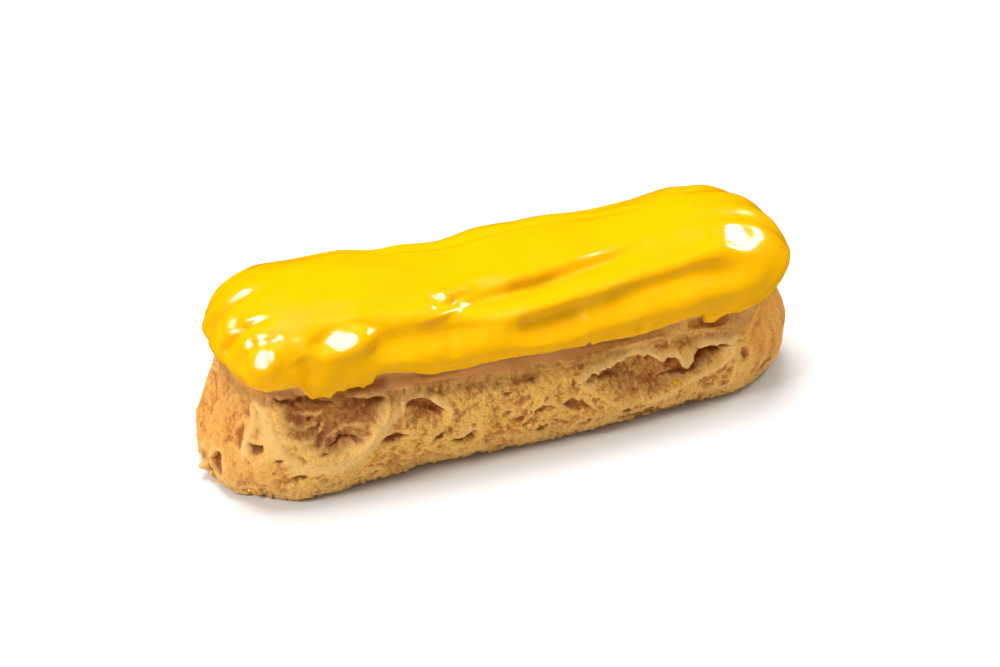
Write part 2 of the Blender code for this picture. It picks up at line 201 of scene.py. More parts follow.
def domePoints(columns, polar, inset):
    radius = domeRadius(columns, polar)
    return placeOnDome(columns, polar, radius + lobeRelief(columns, polar, radius) - inset)


def polarAtHeight(columns, height):
    low, high, steps = dome["edgeSearch"]
    angles = np.linspace(math.radians(low), math.radians(high), steps)
    found = np.empty(len(height))
    for i in range(len(height)):
        one = {"x": columns["x"][i], "direction": columns["direction"][i]}
        heights = dome["middle"] + domeRadius(one, angles) * np.cos(angles)
        found[i] = np.interp(-height[i], -heights, angles)
    return found


def innerPolars(edge):
    last = edge - dome["innerMargin"] / plan["rimRadius"]
    return [share * last for share in np.linspace(0, 1, dome["innerRows"])]


# shortest distance from points to a run of straight segments, and the share of the run
# at the place nearest to each point
def distanceToPath(points, path):
    path = np.array(path, float)
    lengths = np.linalg.norm(np.diff(path, axis=0), axis=1)
    nearest = np.full(points.shape[:-1], np.inf)
    place = np.zeros(points.shape[:-1])
    before = 0
    for start, end, length in zip(path[:-1], path[1:], lengths):
        run = end - start
        share = np.clip((points - start) @ run / (run @ run), 0, 1)
        gap = np.linalg.norm(points - start - share[..., None] * run, axis=-1)
        closer = gap < nearest
        nearest = np.where(closer, gap, nearest)
        place = np.where(closer, before + share * length, place)
        before += length
    return nearest, place / before


# a field of soft random lumps between about -1 and 1, on the rim and the height
def lumps(rim, height, size, seed, octaves=1, stretch=1.0):
    rim = np.broadcast_to(rim, height.shape)
    upwards, below, seedStep = 256, 60, 17  # rows before it repeats, rows below the floor
    total = 0
    for octave in range(octaves):
        cell = size / 2**octave
        around = max(4, round(rimLength / cell))
        draw = np.random.default_rng(seed + seedStep * octave)
        table = draw.uniform(-1, 1, (around, upwards))
        u = (rim / rimLength % 1) * around
        v = height / (cell * stretch) + below
        i, j = np.floor(u).astype(int), np.floor(v).astype(int)
        a, b = u - i, v - j
        a, b = a * a * (3 - 2 * a), b * b * (3 - 2 * b)
        i, i2, j, j2 = i % around, (i + 1) % around, j % upwards, (j + 1) % upwards
        low = table[i, j] * (1 - a) + table[i2, j] * a
        high = table[i, j2] * (1 - a) + table[i2, j2] * a
        total = total + (low * (1 - b) + high * b) / 2**octave
    return total


def addObject(name, data):
    thing = bpy.data.objects.new(name, data)
    bpy.context.scene.collection.objects.link(thing)
    return thing


# skins rows of points, which close on the spine above and below, and stores the values
# given for each row as attributes
def makeSkin(name, columns, rows, values):
    spine = columns["spine"]
    count = rows.shape[1]
    spinePoints = int(spine.max()) + 1
    firstOf = np.array([int(np.argmax(spine == i)) for i in range(spinePoints)])
    points = np.concatenate([rows[0][firstOf], rows[-1][firstOf], rows[1:-1].reshape(-1, 3)])
    here = np.arange(count)
    following = (here + 1) % count
    first = 2 * spinePoints
    faces = []
    for i in range(count):
        top = dict.fromkeys([int(spine[following[i]]), int(spine[i])])
        faces.append((*top, first + i, first + int(following[i])))
    for r in range(len(rows) - 3):
        upper = first + r * count
        lower = upper + count
        ring = (upper + here, lower + here, lower + following, upper + following)
        faces.extend(map(tuple, np.stack(ring, axis=-1).tolist()))
    last = first + (len(rows) - 3) * count
    for i in range(count):
        low = dict.fromkeys([int(spine[i]), int(spine[following[i]])])
        faces.append((*(spinePoints + j for j in low), last + int(following[i]), last + i))
    mesh = bpy.data.meshes.new(name)
    mesh.from_pydata((points * mm).tolist(), [], faces)
    mesh.shade_smooth()
    for label, value in values.items():
        flat = np.concatenate([value[0][firstOf], value[-1][firstOf], value[1:-1].reshape(-1)])
        attribute = mesh.attributes.new(label, "FLOAT", "POINT")
        attribute.data.foreach_set("value", flat.astype(np.float32))
    return addObject(name, mesh)


# small helpers for node trees
def addNode(tree, kind, values=None, **settings):
    node = tree.nodes.new(kind)
    for key, value in settings.items():
        setattr(node, key, value)
    for key, value in (values or {}).items():
        feed(tree, value, node.inputs[key])
    return node


# links a socket to an input, or sets the input to a plain value
def feed(tree, value, socket):
    if isinstance(value, bpy.types.NodeSocket):
        tree.links.new(value, socket)
    else:
        socket.default_value = value


# one output of a new node, by its name or number
def output(tree, kind, values=None, out=0, **settings):
    return addNode(tree, kind, values, **settings).outputs[out]


def maths(tree, operation, *values):
    return output(tree, "ShaderNodeMath", dict(enumerate(values)), operation=operation)


def times(tree, first, *others):
    for other in others:
        first = maths(tree, "MULTIPLY", first, other)
    return first


def plus(tree, first, *others):
    for other in others:
        first = maths(tree, "ADD", first, other)
    return first


# one less a share of an amount
def without(tree, amount, share):
    return maths(tree, "SUBTRACT", 1.0, times(tree, amount, share))


def vectorMaths(tree, operation, first, second):
    values = {0: first, "Scale" if operation == "SCALE" else 1: second}
    return output(tree, "ShaderNodeVectorMath", values, operation=operation)


# value moved from one range to another, with smooth ends
def spread(tree, value, fromLow, fromHigh, toLow=0.0, toHigh=1.0):
    values = {
        "Value": value, "From Min": fromLow, "From Max": fromHigh,
        "To Min": toLow, "To Max": toHigh,
    }
    return output(tree, "ShaderNodeMapRange", values, "Result", interpolation_type="SMOOTHSTEP")


def noise(tree, vector, scale, detail, roughness, distortion=0.0):
    values = {
        "Vector": vector, "Scale": scale, "Detail": detail, "Roughness": roughness,
        "Distortion": distortion,
    }
    return output(tree, "ShaderNodeTexNoise", values)


# a geometry tree with an input for each named value; whole numbers become whole inputs
def makeNodeTree(name, values):
    tree = bpy.data.node_groups.new(name, "GeometryNodeTree")
    sockets = tree.interface
    sockets.new_socket("Geometry", in_out="INPUT", socket_type="NodeSocketGeometry")
    for label, value in values.items():
        kind = "NodeSocketInt" if isinstance(value, int) else "NodeSocketFloat"
        sockets.new_socket(label, in_out="INPUT", socket_type=kind)
    sockets.new_socket("Geometry", in_out="OUTPUT", socket_type="NodeSocketGeometry")
    given = tree.nodes.new("NodeGroupInput").outputs
    return tree, given, tree.nodes.new("NodeGroupOutput").inputs["Geometry"]


def readAttribute(tree, label):
    return output(
        tree, "GeometryNodeInputNamedAttribute", {"Name": label}, "Attribute", data_type="FLOAT"
    )


def storeAttribute(tree, geometry, label, value):
    return output(
        tree, "GeometryNodeStoreNamedAttribute",
        {"Geometry": geometry, "Name": label, "Value": value}, "Geometry",
        data_type="FLOAT", domain="POINT",
    )


# the surface's normal, drawn out to a height
def alongNormal(tree, height):
    return vectorMaths(tree, "SCALE", output(tree, "GeometryNodeInputNormal"), height)


# noise between minus and plus the height that the tree is given for it
def roughen(tree, given, place, name, detail, roughness, distortion=0.0):
    scale = maths(tree, "DIVIDE", 1.0, given[name + " Size"])
    level = noise(tree, place, scale, detail, roughness, distortion)
    level = times(tree, maths(tree, "SUBTRACT", level, 0.5), given[name + " Height"])
    return times(tree, level, 2.0)


# the height and the size of each noise, as inputs for a tree
def noiseInputs(noises):
    inputs = {}
    for name, (height, size, *_) in noises.items():
        inputs[name + " Height"] = height * mm
        inputs[name + " Size"] = size * mm
    return inputs


# realizes instances, sets the material and ends the tree
def endTree(tree, geometry, material, result):
    real = output(tree, "GeometryNodeRealizeInstances", {"Geometry": geometry})
    values = {"Geometry": real, "Material": material}
    feed(tree, output(tree, "GeometryNodeSetMaterial", values), result)


# runs a tree on a piece and keeps the result as the piece's plain mesh
def applyTree(piece, tree, values):
    modifier = piece.modifiers.new(tree.name, "NODES")
    modifier.node_group = tree
    for item in tree.interface.items_tree:
        if item.item_type == "SOCKET" and item.in_out == "INPUT" and item.name in values:
            modifier[item.identifier] = values[item.name]
    graph = bpy.context.evaluated_depsgraph_get()
    made = bpy.data.meshes.new_from_object(
        piece.evaluated_get(graph), preserve_all_data_layers=True, depsgraph=graph
    )
    piece.modifiers.remove(modifier)
    piece.data = made
    made.name = piece.name


# materials
def newMaterial(name, settings):
    material = bpy.data.materials.new(name)
    material.use_nodes = True
    tree = material.node_tree
    shader = tree.nodes["Principled BSDF"].inputs
    for label, value in settings.items():
        shader[label].default_value = value
    return material, tree, shader


def attributeValue(tree, label):
    return output(tree, "ShaderNodeAttribute", out="Fac", attribute_name=label)


def blendColours(tree, amount, first, second):
    values = {0: amount, 6: first, 7: second}  # the factor and the two colours
    return output(tree, "ShaderNodeMix", values, 2, data_type="RGBA", clamp_factor=True)


def addBump(tree, shader, height, depth, strength):
    values = {"Height": height, "Distance": depth * mm, "Strength": strength}
    feed(tree, output(tree, "ShaderNodeBump", values, "Normal"), shader["Normal"])


crustFinish = {
    "orange": (0.72, 0.250, 0.030, 1),
    "golden": (1.0, 0.545, 0.100, 1),
    "pale": (1.0, 0.60, 0.185, 1),
    "brown": (0.41, 0.118, 0.014, 1),
    "darkBrown": (0.22, 0.064, 0.007, 1),
    "bandColour": (0.98, 0.46, 0.130, 1),
    "shadedColour": (0.36, 0.135, 0.045, 1),
    "fibres": (0.42, 0.175, 0.034, 1),
    "glazeColour": (0.88, 0.38, 0.060, 1),
    "shader": {
        "Specular IOR Level": 0.35,
        "Subsurface Weight": 0.1,
        "Subsurface Radius": (1.0, 0.45, 0.2),
        "Subsurface Scale": 0.0010,
    },
    # size, detail, roughness and distortion of each noise
    "patch": (6.5, 3.0, 0.6, 0.0),
    "mottle": (1.2, 5.0, 0.68, 0.4),
    "grain": (0.38, 4.0, 0.65, 0.0),
    # shares of mottle, patch and level in the mix, and where it turns from orange to golden
    "mixShares": (0.6, 0.5, 0.3),
    "mixRange": (0.43, 0.59),
    "reliefShare": 1.2,
    # ranges of the level, in mm: high places are painted pale and low ones brown, partly
    # baked colour and partly painted light and shade
    "high": (0.1, 0.6),
    "low": (0.0, -0.5),
    "lowest": (-0.6, -1.6),
    "hollowMottle": (0.62, 0.40, 0.7, 1.0),
    # colours laid over the mix in this order: where, how much of it, and which colour
    "layers": (
        ("toasted", 0.45, "orange"),
        # painted light: the lower wall is painted paler towards the foot
        ("foot", 0.7, "pale"),
        # painted light on the high places
        ("high", 0.6, "pale"),
        ("fold", 0.9, "pale"),
        # the hollows' brown, partly painted shade
        ("deep", 0.95, "brown"),
        # the brown fibres under the strip, partly painted shade
        ("under", 0.6, "fibres"),
        # painted shade in the low places
        ("low", 0.85, "brown"),
        # painted shade in the lowest places
        ("lowest", 0.7, "darkBrown"),
        ("glaze", 0.7, "glazeColour"),
        ("band", 1.0, "bandColour"),
        ("shaded", 0.7, "shadedColour"),
    ),
    # specks of the grain: its range and their strength, and how plain the smooth places are
    "flecks": ((0.5, 0.66, 0.0, 0.42), (0.42, 0.3, 0.0, 0.7)),
    "plainHollow": 0.6,
    "plain": 0.8,
    "pits": 0.5,
    # range of the mottle and of the roughness, and how much glossier the glaze is
    "roughness": (0.3, 0.7, 0.52, 0.76),
    "glazeGloss": 0.30,
    "bumpDepth": 0.42,
    "bumpShares": (0.5, 0.5),
    "bumpCalm": 0.7,
}


def makeCrustMaterial():
    f = crustFinish
    material, tree, shader = newMaterial("bakedChoux", f["shader"])
    place = output(tree, "ShaderNodeTexCoord", out="Object")
    patch, mottle, grain = (
        noise(tree, place, 1000 / size, *settings)
        for size, *settings in (f["patch"], f["mottle"], f["grain"])
    )
    marks = {label: attributeValue(tree, label) for label in (
        "hollow", "fold", "foot", "band", "under", "glaze", "toasted", "shaded", "pit",
        "relief", "depth",
    )}

    # low places are brown and high ones pale, partly baked colour and partly painted shade
    # and light, and the whole is mottled; the level's share in the mix also paints low places more
    # orange
    relief = times(tree, marks["relief"], f["reliefShare"])
    level = maths(tree, "SUBTRACT", relief, marks["depth"])
    parts = zip((mottle, patch, level), f["mixShares"])
    mix = plus(tree, *(times(tree, part, share) for part, share in parts))
    for label in ("high", "low", "lowest"):
        marks[label] = spread(tree, level, *f[label])
    # the hollows are brown inside, partly baked colour and partly painted shade
    marks["deep"] = times(tree, marks["hollow"], spread(tree, mottle, *f["hollowMottle"]))
    colour = blendColours(tree, spread(tree, mix, *f["mixRange"]), f["orange"], f["golden"])
    for label, share, paint in f["layers"]:
        colour = blendColours(tree, times(tree, marks[label], share), colour, f[paint])

    # dark and pale flecks, fewer where the crust is smooth
    smooth = maths(tree, "MAXIMUM", marks["band"], marks["fold"])
    smooth = maths(tree, "MAXIMUM", smooth, times(tree, marks["hollow"], f["plainHollow"]))
    flecked = without(tree, smooth, f["plain"])
    for fleckRange, paint in zip(f["flecks"], ("brown", "pale")):
        fleck = times(tree, spread(tree, grain, *fleckRange), flecked)
        colour = blendColours(tree, fleck, colour, f[paint])
    # painted shade in the pits
    colour = blendColours(tree, times(tree, marks["pit"], f["pits"]), colour, f["darkBrown"])
    feed(tree, colour, shader["Base Color"])

    rough = spread(tree, mottle, *f["roughness"])
    rough = maths(tree, "SUBTRACT", rough, times(tree, marks["glaze"], f["glazeGloss"]))
    feed(tree, rough, shader["Roughness"])
    parts = zip((mottle, grain), f["bumpShares"])
    fine = plus(tree, *(times(tree, part, share) for part, share in parts))
    smooth = maths(tree, "MAXIMUM", marks["band"], marks["glaze"])
    addBump(tree, shader, fine, f["bumpDepth"], without(tree, smooth, f["bumpCalm"]))
    return material


icingFinish = {
    "colour": (0.92, 0.46, 0.0, 1),
    "deep": (0.88, 0.42, 0.0, 1),
    # painted shade in the furrows, a darker orange
    "furrowShade": (0.94, 0.40, 0.0, 1),
    "shader": {
        "Specular IOR Level": 0.5,
        "Subsurface Weight": 0.25,
        "Subsurface Radius": (1.0, 0.5, 0.02),
        "Subsurface Scale": 0.002,
    },
    # scale, detail and roughness of the clouds, and where they turn to the deep colour
    "cloud": (90.0, 3.0, 0.5),
    "cloudRange": (0.35, 0.7, 0.0, 0.35),
    # size, detail and roughness of the ripples, and how they are drawn out along X
    "ripple": (1.3, 4.0, 0.55),
    "stretch": (0.45, 1, 1),
    "roughness": (0.35, 0.7, 0.145, 0.235),
    "bumpDepth": 0.012,
}


def makeIcingMaterial():
    f = icingFinish
    material, tree, shader = newMaterial("yellowIcing", f["shader"])
    place = output(tree, "ShaderNodeTexCoord", out="Object")
    drawn = output(tree, "ShaderNodeMapping", {"Vector": place, "Scale": f["stretch"]})
    cloud = noise(tree, place, *f["cloud"])
    size, *settings = f["ripple"]
    ripple = noise(tree, drawn, 1000 / size, *settings)
    colour = blendColours(tree, spread(tree, cloud, *f["cloudRange"]), f["colour"], f["deep"])
    # painted shade: the furrows are coloured a darker orange
    colour = blendColours(tree, attributeValue(tree, "furrowShade"), colour, f["furrowShade"])
    feed(tree, colour, shader["Base Color"])
    feed(tree, spread(tree, ripple, *f["roughness"]), shader["Roughness"])
    addBump(tree, shader, ripple, f["bumpDepth"], 1.0)
    return material


crustMaterial = makeCrustMaterial()
icingMaterial = makeIcingMaterial()
print("eclair: materials made")

# the icing coat, which rises along its ridges and dips along its furrows
icing = {
    "frontSteps": 300,
    "backSteps": 150,
    "endSteps": 160,
    "outerRows": 104,
    "edge": (
        (-150, 25), (-141, 23.4), (-133, 25.8), (-124, 24.6), (-115, 26.6), (-107, 24.8),
        (-99, 27.2), (-91, 26), (-80, 27.6), (-70, 28.1), (-62, 27), (-58, 26.5), (-50.8, 28.2),
        (-49.3, 26), (-48.2, 24.9), (-44.4, 24.5), (-43.2, 25.3), (-37.2, 25.2), (-35.6, 25.5),
        (-34.4, 27.6), (-28.8, 27), (-22.8, 24.9), (-14.6, 24.6), (-6.9, 25.2), (1.2, 24.3),
        (8.2, 24.1), (22.8, 23.5), (30, 24.5), (36.8, 25.2), (38.8, 24.9), (39.8, 22.2),
        (42.2, 21.8), (43.6, 23.3), (48.7, 23.6), (55.4, 25.8), (61, 28.4), (70, 28.2), (79, 26.8),
        (88, 28.6), (97, 26), (104, 26.9), (111, 24.6), (118, 26.4), (127, 23.6), (134, 25.8),
        (146, 24.2), (152, 26.2),
    ),
    # drips and nicks in the edge, as rim position, half width and how far down they reach
    "drips": (
        (-44.2, 1, 0.9), (-41.6, 0.6, 0.5), (-37.4, 0.7, 0.7), (-47.9, 0.8, 0.4), (12, 0.5, -1),
        (13.2, 0.5, 0.4), (41.6, 0.8, 0.4), (38.4, 0.6, -0.6), (44.4, 0.5, -0.6), (47.2, 0.6, 0.5),
        (50.6, 0.6, -0.5), (64.4, 0.7, -1.2), (66, 0.8, 0.8), (-61, 0.8, 0.5), (-96, 1.1, 0.8),
        (-122, 0.9, 0.9), (-143, 1.2, 0.7), (92, 1, 0.8), (108, 0.9, -0.7), (131, 1.1, 0.9),
    ),
    # the edge's wobble: how far, its size and its seed
    "edgeWobble": (0.22, 2.2, 31),
    # the edge's cross-section, as (distance above the edge, inset from the outside)
    "bead": (
        (3, 0), (2.5, 0), (2, 0), (1.5, 0.01), (1.1, 0.03), (0.8, 0.07), (0.5, 0.13), (0.25, 0.22),
        (0.05, 0.36), (-0.15, 0.56), (-0.32, 0.82), (-0.36, 1.05), (-0.25, 1.35), (0.1, 1.6),
    ),
    "rollHeight": 2.2,
    "rollWidth": 1.5,
    "rollSwell": 0.4,
    "rollSmoothing": 14,
    "uneven": 0.2,
    "unevenFrom": (0.3, 1.3),
    "unevenRise": 8,
    # above the edge, where the strokes and flats reach their full strength, and the share
    # of the strokes at the edge itself
    "aboveEdge": (-0.2, 2.6),
    "edgeStrokes": 0.25,
    "outsideInset": 0.6,
    # rise (below nought for a furrow), width, and points (x, y, z) of the ridges and furrows
    "strokes": (
        (-1.5, 2.6, ((-16, -13.6, 35), (-9.5, -13.6, 35.5), (-3, -14.2, 35.9), (3.4, -14.4, 36.6),
            (9, -13.4, 37.1), (18, -11.8, 37.4), (30, -8.2, 38))),
        (0.9, 1.9, ((-25, -14.2, 35.6), (-20, -12.2, 36.4), (-15, -9.6, 37), (-9, -7.4, 37.4),
            (-2, -7, 38))),
        (-0.8, 2.8, ((-3.5, -14.5, 36.1), (3, -14.4, 36.6), (9, -13.7, 37))),
        (0.6, 1.2, ((-21.5, -11.4, 36.8), (-17, -9.6, 37.2), (-12, -7.6, 37.4))),
        (0.6, 1.2, ((-24, -15.8, 34.8), (-18, -14.8, 35.4), (-13, -13.6, 36))),
        (0.5, 1.2, ((-19, -14.8, 35.4), (-14, -13.2, 36), (-9, -11.6, 36.6))),
        (-1.65, 3, ((-4, -20.8, 30.8), (3, -20.6, 31.2), (12, -20.2, 32))),
        (-1.4, 2.8, ((12, -20.2, 32), (18, -20.2, 32.2), (26, -19, 33), (38, -18.2, 33.6),
            (50, -18.6, 33))),
        (0.8, 2.6, ((-4, -18.2, 34), (0, -17.8, 34.6), (12, -17.6, 35.2), (26, -15.6, 36),
            (40, -14.2, 36.8), (50, -13.4, 37.2))),
        (0.45, 2.4, ((-10, -21.6, 28), (-2, -21.9, 28), (8, -22, 27.8), (20, -21.8, 28.2))),
        (-1.1, 2.6, ((-34, -18.6, 33.4), (-26, -18.8, 33), (-18, -18.8, 32.6), (-10, -19.4, 32))),
        (0.5, 2.4, ((-42, -13, 37.2), (-34, -13.4, 37), (-26, -13.6, 36.4), (-16, -14.2, 35.4))),
        (-0.2, 1.4, ((-46, -15, 36.2), (-40, -15.2, 36.2), (-33, -15.6, 35.8))),
        (0.8, 2.2, ((-45, -18, 34.2), (-41, -17.8, 34.6), (-36, -17.8, 34.4))),
        (-0.35, 1.5, ((-17.6, -19, 32.6), (-18.3, -20.4, 30.6), (-19.2, -21.4, 28.2))),
        (-1, 2.6, ((-49.4, -17.6, 33.4), (-48.6, -19.4, 30.6), (-50.2, -20.6, 27))),
        (-0.7, 1.3, ((23.6, -21, 27.2), (23.9, -21.2, 24.8))),
        (-0.3, 2.8, ((-20, -5, 37.8), (-30, -4, 38.6), (-42, -3.2, 39.3))),
        (-1.1, 1.7, ((-51.5, 0.8, 38.8), (-57.1, 1.6, 36.7), (-61.1, 2.2, 33.7),
            (-62.6, 2.6, 31.6), (-63.4, 2.8, 26.5))),
        (-0.9, 1.5, ((-50.6, 13.6, 36), (-55.3, 10.8, 35.9), (-59.4, 9.7, 33.6),
            (-61.8, 9.4, 30.5), (-63, 9.4, 26))),
        (-1, 1.3, ((-52.4, -8.6, 37.4), (-57.8, -7.6, 35.4), (-60.4, -7.2, 33), (-61.6, -7, 31),
            (-62.6, -6.8, 26.2))),
        (-0.7, 1.2, ((-53, -13.6, 35.6), (-56.6, -13, 34), (-58.6, -12.6, 31.6),
            (-59.8, -12.4, 28))),
        (0.45, 3, ((-51, 6, 38.6), (-56, 6, 37.2), (-61.5, 6, 33), (-63.4, 6, 28))),
        (0.6, 2.4, ((-53, -3, 38.4), (-58.5, -2.6, 36), (-61.8, -2.4, 32.6), (-63.3, -2.2, 27.6))),
        (0.5, 1.6, ((-53, -11, 36.4), (-57.4, -10, 34.8), (-59.8, -9.8, 32), (-61.2, -9.6, 28))),
        (1.3, 2.6, ((-53, -16, 34.4), (-56, -15.8, 32.6), (-57.6, -15.4, 29.6),
            (-58, -15.2, 26.4))),
        (-0.6, 1.5, ((36, 7.4, 38), (17, 9.6, 38.2), (-2.5, 8.8, 37.6), (-18, 10.8, 36.4),
            (-33, 12.2, 37), (-40, 12.4, 37.4))),
        (-0.9, 2.2, ((38, 17.8, 34), (20, 17, 34.2), (6, 17.4, 33.2), (-10, 16.8, 33),
            (-22, 17.4, 32.6))),
        (0.5, 2.6, ((30, 14, 36.8), (10, 13.6, 36.8), (-12, 14, 35.4), (-30, 15.4, 35.6))),
        (-0.8, 2.2, ((-14, 19.4, 29.8), (-28, 19.6, 30.6), (-42, 19.4, 30.8), (-52, 18.4, 29.6))),
        (-0.6, 2, ((44, -4.6, 39.2), (54, -5.4, 37.8), (61, -6.6, 34), (65, -7.2, 29))),
        (-0.6, 2.2, ((46, 8.2, 38.4), (56, 8.6, 36), (62.5, 8.4, 31.6), (64.6, 8.2, 28))),
    ),
    # how a stroke fades and narrows at its ends, the shoulders beside a furrow as rise,
    # place and width, and how deep a furrow is where its painted shade begins and where it is full
    "strokeEnds": (-0.12, 0.22),
    "strokeTaper": 0.25,
    "shoulder": (0.3, 1.7, 0.8),
    "furrowShadeRange": (0.3, 1.6),
    # flat places that catch the light: middle (x, y, z), facing, half length and half width
    "flats": (
        ((50, -11.6, 38), (0.2, -0.39, 0.9), 4.4, 5.4),
        ((-40.4, -17, 34.6), (-0.33, -0.54, 0.775), 7, 3.6),
        ((-17.9, -11.1, 36.5), (-0.37, -0.515, 0.77), 3.3, 2.7),
        ((-59.2, -4.4, 35.2), (-0.4, -0.48, 0.78), 2.6, 2.8),
        ((-57.8, -11.2, 34.3), (-0.4, -0.5, 0.77), 2, 2.2),
        ((-56.2, -15.2, 32.5), (-0.4, -0.54, 0.74), 3.6, 4),
    ),
    "flatness": 0.85,
    "flatFade": (0.45, 1.15),
    "flatLean": 0.5,
    # bubbles and pinholes: place (x, y, z), radius, depth and the rise of the ring round it
    "bubbles": (
        ((44.5, 1.8, 39.8), 1.25, 0.3, 0.22), ((-41.9, -15.9, 35.4), 0.42, 0.4, 0.06),
        ((-40.3, -16.3, 35.2), 0.36, 0.35, 0.05), ((-43.2, -16.4, 35), 0.36, 0.3, 0.05),
        ((-39.4, -16.9, 34.7), 0.3, 0.3, 0.04), ((-17.8, -5.6, 37.5), 0.6, -0.25, 0),
        ((-45.5, -12.6, 37), 0.45, -0.18, 0), ((-30.6, -13, 37), 0.45, -0.2, 0),
        ((26.7, -5.3, 38.2), 0.6, -0.22, 0), ((18, 12.5, 37), 0.8, 0.3, 0.1),
        ((-28, 14.5, 35.6), 0.7, 0.3, 0.1), ((59.5, 4.2, 36.2), 0.6, 0.25, 0.08),
    ),
    "bubbleRing": (1.15, 0.3),
    "bubblePit": (0.8, 1.5),
    # places (x, y, z) where the skin is wrinkled, with the radius and the strength
    "wrinkled": (
        ((50, -12, 38), 5, 0.45), ((-17.5, -10.4, 36.8), 6, 1), ((-10, -8.4, 36.8), 4, 0.7),
        ((-36, -13.4, 37), 7, 0.6), ((-22, -14.2, 35.8), 5, 0.7), ((-42, -16, 35.2), 4, 0.4),
        ((0, 15, 35.5), 9, 0.7), ((42, 14, 36.5), 7, 0.7),
    ),
    "wrinkledStretch": (0.6, 1, 1),
    "wrinkledFade": (0.3, 1),
    # height, size, detail, roughness and distortion of the ripples and the wrinkles
    "noises": {
        "Ripple": (0.13, 7, 1, 0.4),
        "Wrinkle": (0.15, 1.8, 3, 0.6, 0.8),
    },
    # how much of the wrinkling stays in the marked places alone
    "wrinkledShare": 0.9,
    "stretch": 0.45,
}


# the share of a path's height at a place along it, which fades at both ends
def fadedEnds(fade, share):
    return smoothStep(*fade, share) * smoothStep(*fade, 1 - share)


def strokeRelief(points):
    total = np.zeros(points.shape[:-1])
    shoulderRise, shoulderPlace, shoulderWidth = icing["shoulder"]
    taper = icing["strokeTaper"]
    for rise, width, path in icing["strokes"]:
        away, share = distanceToPath(points, path)
        ends = fadedEnds(icing["strokeEnds"], share)
        away = away / (width * (1 - taper + taper * ends))
        shape = bell(away)
        if rise < 0:
            shape = shape - shoulderRise * bell(away, shoulderPlace, shoulderWidth)
        total += rise * ends * shape
    pitWidth, pitPower = icing["bubblePit"]
    for place, radius, depth, ring in icing["bubbles"]:
        away = np.linalg.norm(points - np.array(place), axis=-1) / radius
        pit = bell(away, width=pitWidth) ** pitPower
        total += ring * bell(away, *icing["bubbleRing"]) - depth * pit
    return total


# presses the surface towards each flat's plane; outward is the way that a place can move
def flatRelief(points, outward):
    total = np.zeros(points.shape[:-1])
    for place, facing, halfLength, halfWidth in icing["flats"]:
        offset = points - np.array(place)
        facing = np.array(facing) / np.linalg.norm(facing)
        across = np.linalg.norm(offset[..., 1:], axis=-1)
        away = np.hypot(offset[..., 0] / halfLength, across / halfWidth)
        share = 1 - smoothStep(*icing["flatFade"], away)
        stands = offset @ facing
        if share.max() > 0:
            stands = stands - (stands * share).sum() / share.sum()
        lean = np.maximum(outward @ facing, icing["flatLean"])
        total -= icing["flatness"] * stands * share / lean
    return total


def icingOutside(columns, polar, edge, inset):
    radius = domeRadius(columns, polar)
    aboveEdge = (edge - polar) * plan["rimRadius"]
    reach = icing["rollSmoothing"]
    even = sum(np.roll(edge, shift) for shift in range(-reach, reach + 1)) / (2 * reach + 1)
    aboveRoll = (even - polar) * plan["rimRadius"] - icing["rollHeight"]
    fade = smoothStep(*icing["aboveEdge"], aboveEdge)
    uneven = icing["uneven"] * smoothStep(*icing["unevenFrom"], polar)
    radius = radius + icing["rollSwell"] * bell(aboveRoll, width=icing["rollWidth"])
    radius = radius + uneven * unevenness(columns["rim"], icing["unevenRise"] * polar) * fade
    strokes = strokeRelief(placeOnDome(columns, polar, radius))
    radius = radius + strokes * (icing["edgeStrokes"] + (1 - icing["edgeStrokes"]) * fade)
    placed = placeOnDome(columns, polar, radius)
    outward = placeOnDome(columns, polar, radius + 1) - placed
    radius = radius + flatRelief(placed, outward) * fade
    return placeOnDome(columns, polar, radius - inset)


def icingEdge(rim):
    wobble, size, seed = icing["edgeWobble"]
    height = roundRim(icing["edge"], rim) + wobble * lumps(rim, rim * 0, size, seed, 2)
    for centre, halfWidth, drop in icing["drips"]:
        height = height - drop * bell(rimDistance(rim, centre), width=halfWidth)
    return height


def makeIcingForm():
    columns = makeColumns(icing["frontSteps"], icing["endSteps"], icing["backSteps"])
    edge = polarAtHeight(columns, icingEdge(columns["rim"]))
    top = icing["bead"][0][0] / plan["rimRadius"]
    shares = np.linspace(0, 1, icing["outerRows"], endpoint=False)
    polars = [share * (edge - top) for share in shares]
    polars += [edge - above / plan["rimRadius"] for above, _ in icing["bead"]]
    insets = np.array([0.0] * len(shares) + [inset for _, inset in icing["bead"]])[:, None]
    outer = icingOutside(columns, np.array(polars), edge, insets)
    inner = [
        domePoints(columns, polar, dome["thickness"]) for polar in reversed(innerPolars(edge))
    ]
    rows = np.concatenate([outer, np.array(inner)])
    outside = np.zeros(rows.shape[:2])
    outside[:len(outer)] = np.clip(1 - insets / icing["outsideInset"], 0, 1)
    wrinkled = np.zeros(rows.shape[:-1])
    for place, radius, strength in icing["wrinkled"]:
        away = np.linalg.norm((rows - np.array(place)) * icing["wrinkledStretch"], axis=-1)
        fade = 1 - smoothStep(*icing["wrinkledFade"], away / radius)
        wrinkled = np.maximum(wrinkled, strength * fade)
    # the furrows' painted shade, fuller where they are deeper
    furrowShade = smoothStep(*icing["furrowShadeRange"], -strokeRelief(rows)) * outside
    values = {"outside": outside, "wrinkled": wrinkled, "furrowShade": furrowShade}
    return makeSkin("icingCoat", columns, rows, values)


